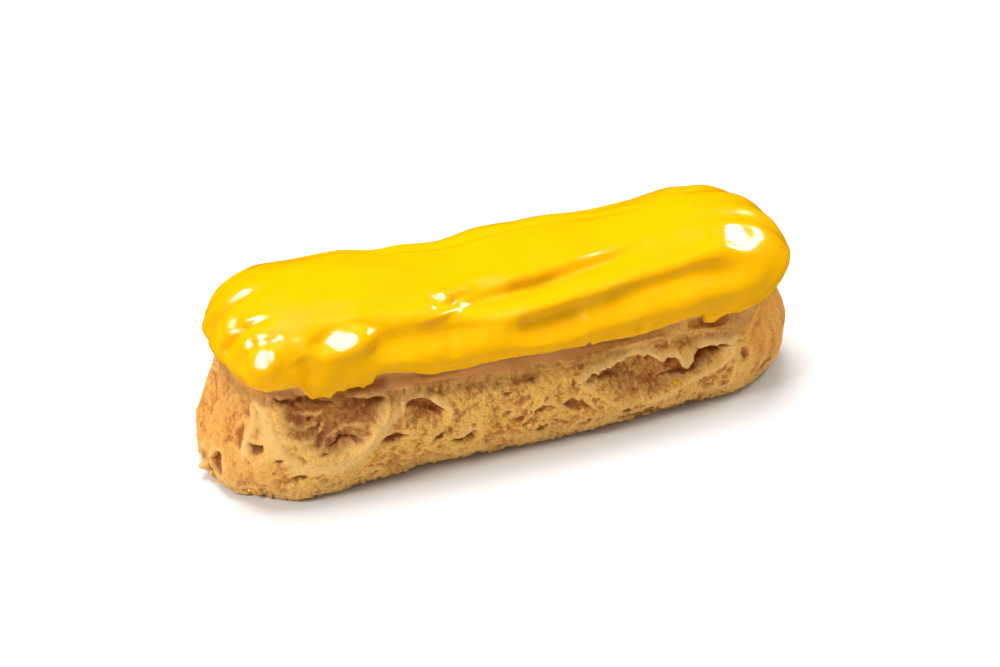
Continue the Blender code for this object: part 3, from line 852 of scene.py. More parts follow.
# slow ripples all over and sharp wrinkles where the skin is wrinkled, drawn out along X
def makeIcingTree(inputs):
    tree, given, result = makeNodeTree("icingSurface", inputs)
    place = output(tree, "GeometryNodeInputPosition")
    along = output(tree, "ShaderNodeCombineXYZ", {"X": given["Stretch"], "Y": 1.0, "Z": 1.0})
    drawn = vectorMaths(tree, "MULTIPLY", place, along)
    ripple, wrinkle = (
        roughen(tree, given, drawn, name, *settings)
        for name, (height, size, *settings) in icing["noises"].items()
    )
    share = icing["wrinkledShare"]
    where = plus(tree, times(tree, readAttribute(tree, "wrinkled"), share), 1 - share)
    height = plus(tree, ripple, times(tree, wrinkle, where))
    height = times(tree, height, readAttribute(tree, "outside"))
    values = {"Geometry": given["Geometry"], "Offset": alongNormal(tree, height)}
    endTree(tree, output(tree, "GeometryNodeSetPosition", values), icingMaterial, result)
    return tree


icingInputs = noiseInputs(icing["noises"])
icingInputs["Stretch"] = icing["stretch"]
icingCoat = makeIcingForm()
applyTree(icingCoat, makeIcingTree(icingInputs), icingInputs)
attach(icingCoat, "root")
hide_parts("icing")
print("eclair: icing made,", len(icingCoat.data.polygons), "faces")

# the choux bun: a baked crust with hollows under thin skin, pits, folds and a rough foot
crust = {
    "frontSteps": 372,
    "backSteps": 186,
    "endSteps": 196,
    "bandRows": 12,
    "wallRows": 80,
    "baseRows": 2,
    "front": ((-46, 22.6), (-20, 22), (5, 22), (25, 21.2), (46, 20)),
    "back": ((-46, 21.3), (-24, 21.9), (4, 21.2), (28, 21.8), (46, 20.9)),
    "ends": (22, 22),
    "squareness": (2.2, 2.05),
    "lipHeight": (
        (-140, 20.6), (-120, 20), (-104, 21.4), (-90, 22.6), (-77, 22.8), (-66, 23.2), (-52, 24),
        (-34.5, 23.4), (-23.3, 22.3), (-12.2, 21.4), (10.6, 21), (29.6, 21.4), (46, 20.8),
        (56, 22.4), (66, 23.8), (77, 23.8), (90, 22.8), (104, 20.8), (122, 19.6), (140, 20.4),
    ),
    "lipInset": (
        (-130, 1.8), (-108, 2.4), (-92, 4.6), (-77, 6.4), (-62, 5.2), (-50, 2.6), (-34, 1.6),
        (0, 1.6), (30, 1.5), (46, 1.6), (58, 3), (77, 4.2), (96, 2.8), (110, 1.8), (150, 1.7),
    ),
    "lipClearance": 0.8,
    "tuckDepth": 0.8,
    "tuckReach": 3.0,
    "bellyLevel": (
        (-112, 0.42), (-77, 0.2), (-54, 0.36), (-30, 0.45), (58, 0.46), (77, 0.42), (100, 0.45),
    ),
    "footInset": (
        (-100, 2.6), (-77, 1.2), (-50, 2.6), (-34, 3.4), (-20, 4.8), (-6, 3.6), (12, 3.2), (40, 3),
        (60, 3.6), (90, 3.2), (150, 3.3),
    ),
    "footSection": ((0, 1.35), (0.05, 0.88), (0.22, 0.52), (0.55, 0.15), (1, 0)),
    "shoulderSection": ((0, 0), (0.36, 0.3), (0.67, 0.7), (0.87, 0.95), (1, 1)),
    "grooveDepth": (
        (-110, 0.5), (-77, 0.1), (-52, 0.3), (-30, 0.7), (0, 1.2), (32, 0.9), (56, 0.3),
        (100, 0.4), (150, 0.8),
    ),
    # level and half width of the groove under the lip
    "groove": (0.88, 0.07),
    "uneven": 0.3,
    # lower edge of the smooth strip under the icing, how much of a strip there is, and
    # lower edge of the brown fibres under it, painted partly as shade; each edge's wobble is how
    # far, size, seed
    "stripBottom": (
        (-140, 22.4), (-110, 23), (-77, 24.6), (-60, 24.2), (-38, 23.6), (-28.9, 22.8),
        (-22.2, 22.5), (-12.3, 21.5), (-4, 21.3), (6, 21), (12, 21.4), (18, 21), (28, 19),
        (40, 17.6), (47, 16.8), (52, 18.6), (58, 22.6), (77, 24.4), (100, 22.6), (130, 21.6),
    ),
    "stripWobble": (0.3, 2, 15),
    "stripStrength": (
        (-140, 0.8), (-100, 0.6), (-77, 0.4), (-62, 0.7), (-50, 1), (8, 1), (15, 0.7), (22, 0.25),
        (46, 0.2), (54, 0.15), (62, 0.1), (90, 0.3), (110, 0.8),
    ),
    # how dark the strip is, and how dark the gap right under the icing's edge is
    "stripShade": (
        (-140, 0.3), (-100, 0.2), (-80, 0.3), (-64, 0.6), (-56, 0.75), (-46, 0.7), (-38, 0.55),
        (-34, 0.75), (-28, 0.3), (-19, 0), (-10, 0.2), (-3, 0.4), (10, 0.4), (22, 0.35), (38, 0.3),
        (46, 0.5), (60, 0.35), (100, 0.3),
    ),
    "gapShade": (
        (-140, 0.5), (-70, 0.4), (-36, 0.8), (-20, 0.8), (-2, 0.9), (6, 0.4), (14, 0.9), (26, 0.6),
        (42, 0.9), (60, 0.5),
    ),
    "gapHeight": (-2.1, -1.3),
    # how much the low places are darkened
    "lowShade": ((-150, 0.5), (-92, 0.5), (-74, 1), (62, 1), (76, 0.6), (100, 0.5), (150, 0.5)),
    "fibreBottom": (
        (-140, 19), (-77, 22.4), (-50, 22), (-38, 21), (-19.4, 19.3), (-11, 18.6), (-1, 18),
        (4, 18.8), (12, 18.6), (18, 19.4), (26, 20.4), (52, 20.6), (77, 22), (110, 20),
    ),
    "fibreWobble": (0.7, 1.6, 16),
    # how the fibres, the strip on the wall and the strip on the band fade in; its shade
    # on the wall
    "fibreFade": (-1.2, 0.6),
    "stripFade": (-0.2, 0.4),
    "bandFade": (-0.3, 0.4),
    "shadeFade": (-0.6, 0.4),
    # height, size, seed, octaves and stretch of the fibres, and of the streaks in the band
    "fibres": (0.3, 0.8, 14, 2, 5),
    "streaks": (0.14, 3, 12, 3),
    "bandEase": 1.25,
    # how open the crust is to its roughness, on the band and on the wall, which opens fully
    # within a share of its height
    "openBand": (0.2, 0.6),
    "openWall": (0.6, 1, 0.06),
    # outline as (rim position, height), depth, width of the upper and the lower slope,
    # overhang of the skin above, and how dark it is inside, which is partly painted shade
    "caves": (
        (((9, 15.2), (12.1, 16.4), (17.5, 17.8), (21.1, 18.5), (24.7, 18.6), (27.9, 17.6),
            (30.2, 15.6), (31.5, 16.7), (33.4, 15.6), (34.4, 12.8), (36, 12.4), (37.2, 15.4),
            (38.8, 16.6), (42.8, 16.6), (46.6, 16), (46.4, 12.6), (44.2, 10.4), (41, 9.6),
            (38.4, 7.8), (33.4, 6.2), (28.3, 5.1), (20.8, 6.9), (15.3, 11.2)),
            2.6, 0.5, 4.8, 1, 0.6),
        (((37.2, 14.6), (39.6, 15.8), (43.4, 15.9), (45.8, 14.6), (44.2, 12.6), (41, 11.2),
            (38.4, 11.4)), 1.5, 0.7, 1.8, 0.4, 0.35),
        (((30.6, 15.4), (33, 15.2), (34.2, 12.6), (33, 10.6), (29.6, 12.4)),
            1.2, 0.6, 2.2, 0.2, 0.6),
        (((-58.3, 24.7), (-55.3, 20.8), (-54.3, 16.8), (-51.1, 13.6), (-46.9, 10.8), (-42.8, 10.4),
            (-38.4, 12.4), (-35.9, 15.1), (-33.1, 17.9), (-31.6, 21), (-38.3, 23.8), (-48, 24.8)),
            2.4, 1.3, 3.2, 0, 1),
        (((-52.1, 23.2), (-50.2, 23.7), (-47.5, 23.2), (-44.3, 22.7), (-43, 21.6), (-45.1, 20.8),
            (-48.4, 21), (-51.4, 21.8)), 1.3, 0.5, 0.9, 0.3, 0.9),
        (((-29.3, 17.1), (-28.6, 19.6), (-26.9, 19.9), (-24.7, 19.5), (-22.7, 18.3), (-21.1, 16.7),
            (-19.8, 15.6), (-19.9, 12.6), (-22, 12.2), (-24.6, 12.5), (-28, 13.3), (-28.9, 14.8)),
            2.2, 0.6, 3.6, 0.7, 0.5),
        (((-61.6, 14.3), (-59.6, 13.7), (-57.6, 14.7), (-57.1, 11.9), (-58.8, 10.4),
            (-60.8, 11.7)), 2.2, 0.6, 1.2, 0.3, 0.7),
        (((-45.4, 12.6), (-43.3, 14), (-41.1, 14.9), (-38.7, 14.6), (-38.9, 12.6), (-41.8, 12.5),
            (-43.9, 12.2)), 1.8, 0.5, 1.4, 0.5, 0.8),
        (((-47.8, 11.9), (-45.6, 12.2), (-44.4, 11.5), (-46.1, 11)), 1, 0.4, 0.5, 0.2, 0.9),
        (((-24.2, 8.1), (-23.4, 9.9), (-20.2, 10.9), (-20.5, 9.2), (-22.6, 8.8)),
            1.2, 0.5, 1, 0.3, 0.65),
        (((-19.6, 8), (-18.5, 8.7), (-16.1, 8.2), (-14.8, 10.3), (-13.3, 9.9), (-13.9, 6),
            (-16.4, 5.7), (-18.4, 6.5)), 1.5, 0.5, 1.8, 0.4, 0.65),
        (((-35.4, 12.7), (-33.2, 13.1), (-30.6, 13.4), (-28.2, 13.2), (-28, 11.8), (-30.6, 11.4),
            (-33, 10.3), (-34.8, 11)), 1.1, 0.5, 1.4, 0.3, 0.55),
        (((-53.6, 7.4), (-51.4, 8), (-49.4, 7.3), (-50.3, 5.9), (-52.4, 6)),
            0.9, 0.5, 1, 0.3, 0.6),
        (((-56.6, 11.1), (-55.5, 12), (-54.3, 11.4), (-54.6, 10.2), (-55.9, 10.1)),
            1, 0.4, 0.8, 0.2, 0.6),
        (((-65.4, 14.1), (-64.2, 16.8), (-62.5, 17.6), (-61.9, 14.7), (-63.2, 11.2),
            (-64.8, 11.4)), 0.9, 1.4, 1.8, 0, 0.4),
        (((-35.7, 7.3), (-33.6, 6), (-34.1, 5), (-35.4, 6.1)), 0.8, 0.4, 0.5, 0.1, 0.8),
        (((-1.5, 10.6), (0.6, 12.2), (4.4, 11.8), (3.8, 9.8), (0.9, 9.4)),
            0.8, 0.8, 1.5, 0.1, 0.35),
        (((5.3, 10.9), (7.7, 11.9), (11.5, 10.5), (13.5, 7.6), (9.5, 7.5), (6, 8.8)),
            0.8, 0.8, 1.6, 0.1, 0.35),
        (((19.7, 5), (22, 5.4), (23.1, 3.4), (21.4, 2.9)), 0.9, 0.4, 0.7, 0.2, 0.8),
        (((25, 3.3), (27.6, 4.1), (29.3, 2.7), (27.4, 1.3)), 0.9, 0.4, 0.7, 0.2, 0.8),
        (((9, 4.8), (11.7, 5.7), (13.9, 5.5), (11.1, 2.9)), 0.8, 0.4, 0.8, 0.2, 0.4),
        (((-1, 6), (2.5, 6.6), (3.8, 4.9), (1.3, 4)), 0.7, 0.6, 0.9, 0.1, 0.3),
        (((47.9, 13.2), (49.9, 13.8), (52.3, 11.3), (49.9, 9), (48.6, 10.4)), 1, 0.8, 1, 0.1, 0.6),
        (((-71.4, 6.4), (-69.8, 8.6), (-67.6, 8.8), (-66.6, 4.4), (-68.2, 2.6), (-70.6, 3)),
            1.6, 0.5, 1.2, 0.3, 0.7),
    ),
    # round a cave: its upper side, the slopes' width, place and width of the raised rim, of
    # the skin drawn down and of the fold, and where it is dark, partly as painted shade, and
    # wrinkled
    "caveEdges": {
        "upper": (-0.2, 0.6),
        "slope": 1.35,
        "rim": (-0.5, 0.5),
        "drawn": (-0.1, 0.5),
        "fold": (-0.35, 0.3),
        "foldShare": 0.5,
        "dark": (-0.1, 0.6),
        "wrinkleDepth": 2.0,
    },
    # rim position, height, half length, half height, depth, tilt in degrees, overhang, and
    # darkness inside, which is partly painted shade
    "hollows": (
        (-54.6, 22.8, 0.5, 0.5, 0.9, 0, 0, 1),
        (-52.4, 21.9, 0.5, 0.5, 0.9, 0, 0, 1),
        (-48.9, 18.3, 0.55, 0.5, 0.9, 0, 0, 1),
        (-46.8, 16.9, 0.45, 0.4, 0.7, 0, 0, 1),
        (-0.4, 17.2, 1, 0.7, 0.5, 10, 0.1, 0.7),
        (-6.5, 15.9, 1.2, 0.7, 0.5, 0, 0.1, 0.6),
        (-6.7, 11.7, 1.6, 0.8, 0.5, 0, 0.1, 0.5),
        (-3.9, 9.4, 1.2, 0.9, 0.5, 0, 0.1, 0.6),
        (13, 14.4, 1.6, 0.7, 0.6, 8, 0.2, 0.6),
        (-84, 15.5, 4.6, 3, 0.6, 15, 0, 0.12),
        (-92, 9, 5.6, 3, 1.4, -20, 0.4, 0.45),
        (-102.5, 16, 3, 2.2, 1.3, 30, 0.5, 0.5),
        (-99, 13.4, 4.6, 2.2, 1.1, -12, 0.3, 0.4),
        (-117, 11.6, 9.4, 4.2, 2.4, 5, 0.8, 0.45),
        (-112, 7.8, 3.4, 2, 1.2, 24, 0.2, 0.6),
        (-124.6, 8.8, 2.6, 1.4, 1.1, -10, 0.2, 0.5),
        (-131, 15.6, 2.6, 1.5, 1, 0, 0.4, 0.6),
        (-138.5, 8.4, 5, 2.2, 1.3, -12, 0.3, 0.45),
        (-150.5, 14.2, 4.6, 3.6, 1.8, 20, 0.6, 0.45),
        (153, 10, 4, 2.4, 1.3, -20, 0.2, 0.4),
        (147, 5.6, 2.2, 1, 0.8, 0, 0.2, 0.6),
        (140.5, 15.6, 2.6, 1.6, 1.2, -14, 0.5, 0.6),
        (126.5, 11.8, 10.4, 4, 2.6, -6, 0.8, 0.45),
        (120, 8.2, 3.4, 2, 1.1, 14, 0.2, 0.5),
        (111, 15.2, 3, 2, 1.2, 12, 0.4, 0.5),
        (104, 8.6, 4.4, 2.4, 1.2, 0, 0.3, 0.4),
        (92, 12.6, 5.2, 3.4, 1.3, 16, 0.3, 0.4),
        (74, 7.4, 3.6, 2.2, 1, -10, 0.3, 0.45),
    ),
    # the same round a hollow, where 1 is its edge
    "hollowEdges": {
        "floor": 0.62,
        "slope": 1.05,
        "upper": (0.1, 0.7),
        "rim": (1.12, 0.14),
        "drawn": (1.08, 0.16),
        "fold": (1.14, 0.12),
        "foldShare": 0.35,
        "darkPower": 1.5,
        "wrinkleLength": 5.0,
    },
    # small hollows are bent less, and long ones more
    "hollowWarp": {
        "fullHeight": 1.6,
        "longFrom": 2.5,
        "long": 2.0,
    },
    # height of the raised rim, as a share of the depth
    "hollowRim": 0.12,
    # height, width, and points (rim position, height) of folds, and of slits below nought
    "folds": (
        (0.6, 2, ((-64.5, 24.3), (-59.7, 20.6), (-57.2, 16.6), (-55, 12.6), (-51.6, 9.6),
            (-47, 8.2), (-43, 8.4), (-39.6, 10.2), (-36.8, 12.8), (-32.4, 16.1), (-29.6, 19.4))),
        (0.5, 0.9, ((-62.3, 20.8), (-60.8, 17.6), (-61.7, 14.6), (-62.6, 10.6))),
        (0.35, 0.45, ((9, 15.5), (12.1, 16.7), (17.5, 18.1), (21.1, 18.8), (24.7, 18.9),
            (28.2, 17.8), (30.2, 16))),
        (0.35, 0.4, ((31, 16.6), (33.6, 15.6), (34.6, 12.6), (36, 12.2), (37.4, 15.4),
            (38.8, 16.9), (46.5, 16.8), (50, 16.2), (53.6, 18.6), (56, 21))),
        (0.45, 0.5, ((36.4, 8.6), (38.6, 9), (41.6, 9.8), (45, 10.6), (46.6, 13))),
        (0.4, 0.5, ((27, 5.2), (31, 6), (35, 7.4), (38.6, 9.2))),
        (0.45, 0.5, ((-29.4, 17), (-28.8, 19.9), (-26.9, 20.3), (-24.7, 19.9), (-22.6, 18.7),
            (-20.8, 17), (-19.3, 15.8), (-19.2, 12.8))),
        (0.3, 0.5, ((-53.2, 15.9), (-51, 14.9), (-48.8, 15), (-47, 15.9), (-45.6, 17.6))),
        (0.3, 0.5, ((-53.4, 19.3), (-51.6, 17.6), (-49.2, 17), (-47.6, 17.6))),
        (0.25, 0.45, ((-50.8, 13.2), (-48, 12.8), (-44.6, 14.8), (-41, 16.2), (-37.4, 16.6))),
        (0.25, 0.45, ((-52.4, 20.6), (-49.8, 19.4), (-47.4, 19.2), (-45, 19.8))),
        (0.35, 0.4, ((45.4, 8.2), (46.6, 11), (46.8, 14))),
        (0.3, 0.35, ((46.8, 5), (47.9, 8.6), (48.2, 12.2))),
        (0.3, 0.35, ((44, 4), (46.2, 4.6), (48.6, 7), (49.6, 8.8))),
        (0.45, 0.7, ((54.6, 5), (56.6, 9.6), (57.2, 14.4), (56.6, 18.6))),
        (0.4, 0.6, ((60.4, 4.4), (62.2, 9), (62.8, 14), (61.6, 18))),
        (-0.45, 0.6, ((58.6, 7), (59.8, 12), (59.4, 16.4))),
        (-0.4, 0.6, ((65.2, 6.4), (66, 11.6), (65, 17))),
        (-0.7, 0.5, ((20, 2.6), (26, 1.7), (33, 1.5), (40, 1.3))),
        (-0.5, 0.5, ((53, 15), (56, 17.6), (58, 20.4))),
        (0.8, 1.4, ((-127, 15), (-119, 16.8), (-110, 14.2), (-106, 9.6))),
        (0.8, 1.5, ((137, 9), (131, 16.4), (121, 16.8), (114, 11))),
        (-1.3, 1.1, ((144, 10.6), (139, 9.2), (134, 6.4))),
        (-1.2, 1, ((-146, 7.4), (-141, 4.8), (-134, 5))),
        (0.7, 1.4, ((83, 19), (79, 13), (84, 7))),
    ),
    # how a fold fades at its ends, how pale it is before its rise adds to that, how it
    # smooths the hollow that it crosses, and how dark the painted shade in a slit is and how
    # narrow it is
    "foldEnds": (-0.1, 0.15),
    "foldPale": 0.4,
    "foldOverHollow": 0.8,
    "slitDark": (0.8, 0.8),
    # torn spikes at the -X end: rim position, height, radius and how far they stand out
    "spikes": (
        (-73.4, 2.4, 1.8, 2.6), (-71.2, 1, 1.2, 1.7), (-74.6, 6.4, 2, 1.2), (-66.2, 2.2, 1.2, 0.9),
        (-69, 1.2, 1.1, 1.3),
    ),
    "spikePower": 1.3,
    # rim position, height, radius and rise of each blister
    "blisters": (
        (56.4, 20.6, 0.9, 0.45), (58.2, 19.2, 0.8, 0.45), (55.4, 18.4, 0.8, 0.35),
        (57.6, 17.2, 0.7, 0.35), (59.6, 21.4, 0.8, 0.4), (60.2, 18.4, 0.7, 0.3),
        (-9, 17.2, 0.6, 0.4), (-6.2, 17.6, 0.5, 0.4), (-11.6, 16.6, 0.5, 0.3),
        (-37, 19.6, 0.6, 0.3), (-34.4, 18.8, 0.6, 0.3),
    ),
    # where the crust is toasted darker: rim position and reach
    "toast": (-74, 22),
    "toastFade": (0.3, 1),
    # the glossy patch at the +X end: rim position, height, half length and half height
    "glaze": (60, 16, 12, 10),
    "glazeFade": (0.75, 1.05),
    "glazeWobble": (0.12, 4, 9, 2),
    # how far outlines are bent, and over what length, coarsely and finely
    "warp": (0.45, 4.2),
    "fineWarp": (0.26, 1.2),
    "warpSeeds": (3, 5),
    # the wrinkles' height, size, seed, octaves and stretch, how they follow the bent outlines,
    # and their level
    "wrinkles": (0.22, 1.6, 8, 3, 1.6),
    "wrinkleWarp": 0.6,
    "wrinkleLevel": 0.4,
    # what is round a place: rows, columns and how often they are averaged
    "levelReach": (3, 4, 3),
    "footFade": (0.8, 8),
    # height, size, detail, roughness and distortion of each noise on the surface
    "noises": {
        "Lump": (0.45, 4.2, 3, 0.55),
        "Grain": (0.62, 1.3, 4, 0.65, 0.5),
        "Crumb": (1, 0.9, 2, 0.6),
    },
    # how quickly the foot's crumb fades upwards
    "crumbPower": 3.0,
    # the pits' depth, size, detail, roughness and distortion, and where their noise digs
    "pits": (0.3, 2.2, 2, 0.5, 0.6),
    "pitRange": (0.66, 0.74),
    # how much calmer the surface is on the folds, the band and the glaze
    "calm": (("fold", 0.5), ("band", 0.8), ("glaze", 0.45)),
}


# an outline with its corners cut off twice
def roundedOutline(outline):
    points = np.array(outline, float)
    for _ in range(2):
        following = np.roll(points, -1, axis=0)
        cut = [0.75 * points + 0.25 * following, 0.25 * points + 0.75 * following]
        points = np.stack(cut, axis=1).reshape(-1, 2)
    return points


# distance from the outline, positive inside it, and how far above the point its nearest
# place lies, as a share of that distance
def insideOutline(u, v, outline):
    nearest = np.full(u.shape, np.inf)
    up = np.zeros(u.shape)
    inside = np.zeros(u.shape, bool)
    for (x1, y1), (x2, y2) in zip(outline, np.roll(outline, -1, axis=0)):
        length = (x2 - x1) ** 2 + (y2 - y1) ** 2
        share = np.clip(((u - x1) * (x2 - x1) + (v - y1) * (y2 - y1)) / length, 0, 1)
        du, dv = x1 + share * (x2 - x1) - u, y1 + share * (y2 - y1) - v
        gap = np.hypot(du, dv)
        closer = gap < nearest
        nearest = np.where(closer, gap, nearest)
        up = np.where(closer, dv / np.maximum(gap, 1e-6), up)
        if y1 != y2:
            crosses = ((y1 > v) != (y2 > v)) & (u < (x2 - x1) * (v - y1) / (y2 - y1) + x1)
            inside ^= crosses
    return np.where(inside, nearest, -nearest), np.where(inside, up, -up)


# how far the wall stands out, and a field for each thing that its shape says about a place:
# how far it is drawn down over a hollow, and how much of it is hollow, fold, wrinkled and glazed
def crustRelief(rim, height):
    size, cell = crust["warp"]
    fine, fineCell = crust["fineWarp"]

    def warp(seed):
        slow = size * lumps(rim, height, cell, seed)
        return slow + fine * lumps(rim, height, fineCell, seed + 1, 2)

    aside, upwards = (warp(seed) for seed in crust["warpSeeds"])
    relief = crust["uneven"] * unevenness(rim, height)
    shape = {key: np.zeros(height.shape) for key in ("drawn", "hollow", "fold", "wrinkled")}

    def mark(key, value):
        shape[key] = np.maximum(shape[key], value)

    edges = crust["caveEdges"]
    for outline, depth, upperWidth, lowerWidth, overhang, dark in crust["caves"]:
        outline = roundedOutline(outline)
        centre = outline[:, 0].mean()
        u = centre + rimDistance(rim, centre) + aside
        into, up = insideOutline(u, height + upwards, outline)
        above = smoothStep(*edges["upper"], up)
        width = edges["slope"] * (lowerWidth + (upperWidth - lowerWidth) * above)
        inside = smoothStep(0, width, into)
        raised = depth * crust["hollowRim"] * bell(into, *edges["rim"])
        relief = relief - depth * inside + raised
        # inside the cave it is painted dark, partly baked brown and partly painted shade
        darkFrom, darkTo = edges["dark"]
        mark("drawn", overhang * above * bell(into, *edges["drawn"]))
        mark("hollow", smoothStep(darkFrom, darkTo * width, into) * dark)
        mark("fold", edges["foldShare"] * bell(into, *edges["fold"]) * above)
        mark("wrinkled", inside * min(1, depth / edges["wrinkleDepth"]))
    edges = crust["hollowEdges"]
    bent = crust["hollowWarp"]
    for centre, middle, halfLength, halfHeight, depth, tilt, overhang, dark in crust["hollows"]:
        bend = min(1.0, halfHeight / bent["fullHeight"])
        bend *= bent["long"] if halfLength > bent["longFrom"] else 1.0
        along = rimDistance(rim, centre) + bend * aside
        up = height - middle + bend * upwards
        turn = math.radians(tilt)
        u = (along * math.cos(turn) + up * math.sin(turn)) / halfLength
        v = (up * math.cos(turn) - along * math.sin(turn)) / halfHeight
        away = np.hypot(u, v)
        inside = 1 - smoothStep(np.where(v > 0, edges["floor"], 0.0), edges["slope"], away)
        upper = smoothStep(*edges["upper"], v)
        raised = depth * crust["hollowRim"] * bell(away, *edges["rim"])
        relief = relief - depth * inside + raised
        mark("drawn", overhang * upper * bell(away, *edges["drawn"]))
        # inside the hollow it is painted dark, partly baked brown and partly painted shade
        mark("hollow", inside ** edges["darkPower"] * dark)
        mark("fold", edges["foldShare"] * bell(away, *edges["fold"]) * upper)
        mark("wrinkled", inside * min(1, halfLength / edges["wrinkleLength"]))
    slitDark, slitWidth = crust["slitDark"]
    for rise, width, path in crust["folds"]:
        path = np.array(path, float)
        first = path[0, 0]
        path[:, 0] -= first
        points = np.stack([rimDistance(rim, first) + aside, height + upwards], axis=-1)
        away, share = distanceToPath(points, path)
        ends = fadedEnds(crust["foldEnds"], share)
        away = away / width
        relief = relief + rise * ends * bell(away)
        if rise > 0:
            mark("fold", ends * bell(away) * min(1, crust["foldPale"] + rise))
            shape["hollow"] = shape["hollow"] * (1 - crust["foldOverHollow"] * ends * bell(away))
            shape["wrinkled"] = shape["wrinkled"] * (1 - ends * bell(away))
        else:
            # a slit is painted dark as shade
            mark("hollow", slitDark * ends * bell(away, width=slitWidth))
    for centre, middle, radius, rise in crust["spikes"]:
        away = np.hypot(rimDistance(rim, centre) + aside, height - middle + upwards) / radius
        relief = relief + rise * np.clip(1 - away, 0, 1) ** crust["spikePower"]
    for centre, middle, radius, rise in crust["blisters"]:
        away = np.hypot(rimDistance(rim, centre), height - middle) / radius
        swell = np.clip(1 - away**2, 0, 1)
        relief = relief + rise * swell
        mark("fold", swell)
    centre, middle, halfLength, halfHeight = crust["glaze"]
    away = np.hypot(rimDistance(rim, centre) / halfLength, (height - middle) / halfHeight)
    wobble, *settings = crust["glazeWobble"]
    away = away + wobble * lumps(rim, height, *settings)
    shape["glaze"] = 1 - smoothStep(*crust["glazeFade"], away)

    # sharp wrinkles at the back of the hollows
    follow = crust["wrinkleWarp"]
    wrinkleHeight, *settings = crust["wrinkles"]
    sharp = 1 - 2 * np.abs(lumps(rim + follow * aside, height + follow * upwards, *settings))
    relief = relief + wrinkleHeight * shape["wrinkled"] * (sharp - crust["wrinkleLevel"])
    return relief, shape


def wallInset(rim, level):
    belly = roundRim(crust["bellyLevel"], rim)
    below = curveThrough(crust["footSection"], level / belly) * roundRim(crust["footInset"], rim)
    above = curveThrough(crust["shoulderSection"], (level - belly) / (1 - belly))
    above = above * roundRim(crust["lipInset"], rim)
    groove = roundRim(crust["grooveDepth"], rim) * bell(level, *crust["groove"])
    return np.where(level < belly, below, above) + groove


# how far each place lies below what is round it
def depthBelow(wall):
    above, beside, rounds = crust["levelReach"]
    shifts = range(-beside, beside + 1)
    smooth = wall
    for _ in range(rounds):
        padded = np.pad(smooth, ((above, above), (0, 0)), mode="edge")
        smooth = sum(padded[i:i + len(wall)] for i in range(2 * above + 1)) / (2 * above + 1)
        smooth = sum(np.roll(smooth, shift, axis=1) for shift in shifts) / len(shifts)
    return smooth - wall


# how far places lie above the lower edge of the strip or of its fibres
def aboveEdgeOf(name, rim, height):
    wobble, size, seed = crust[name + "Wobble"]
    edge = roundRim(crust[name + "Bottom"], rim) + wobble * lumps(rim, height, size, seed, 2)
    return height - edge


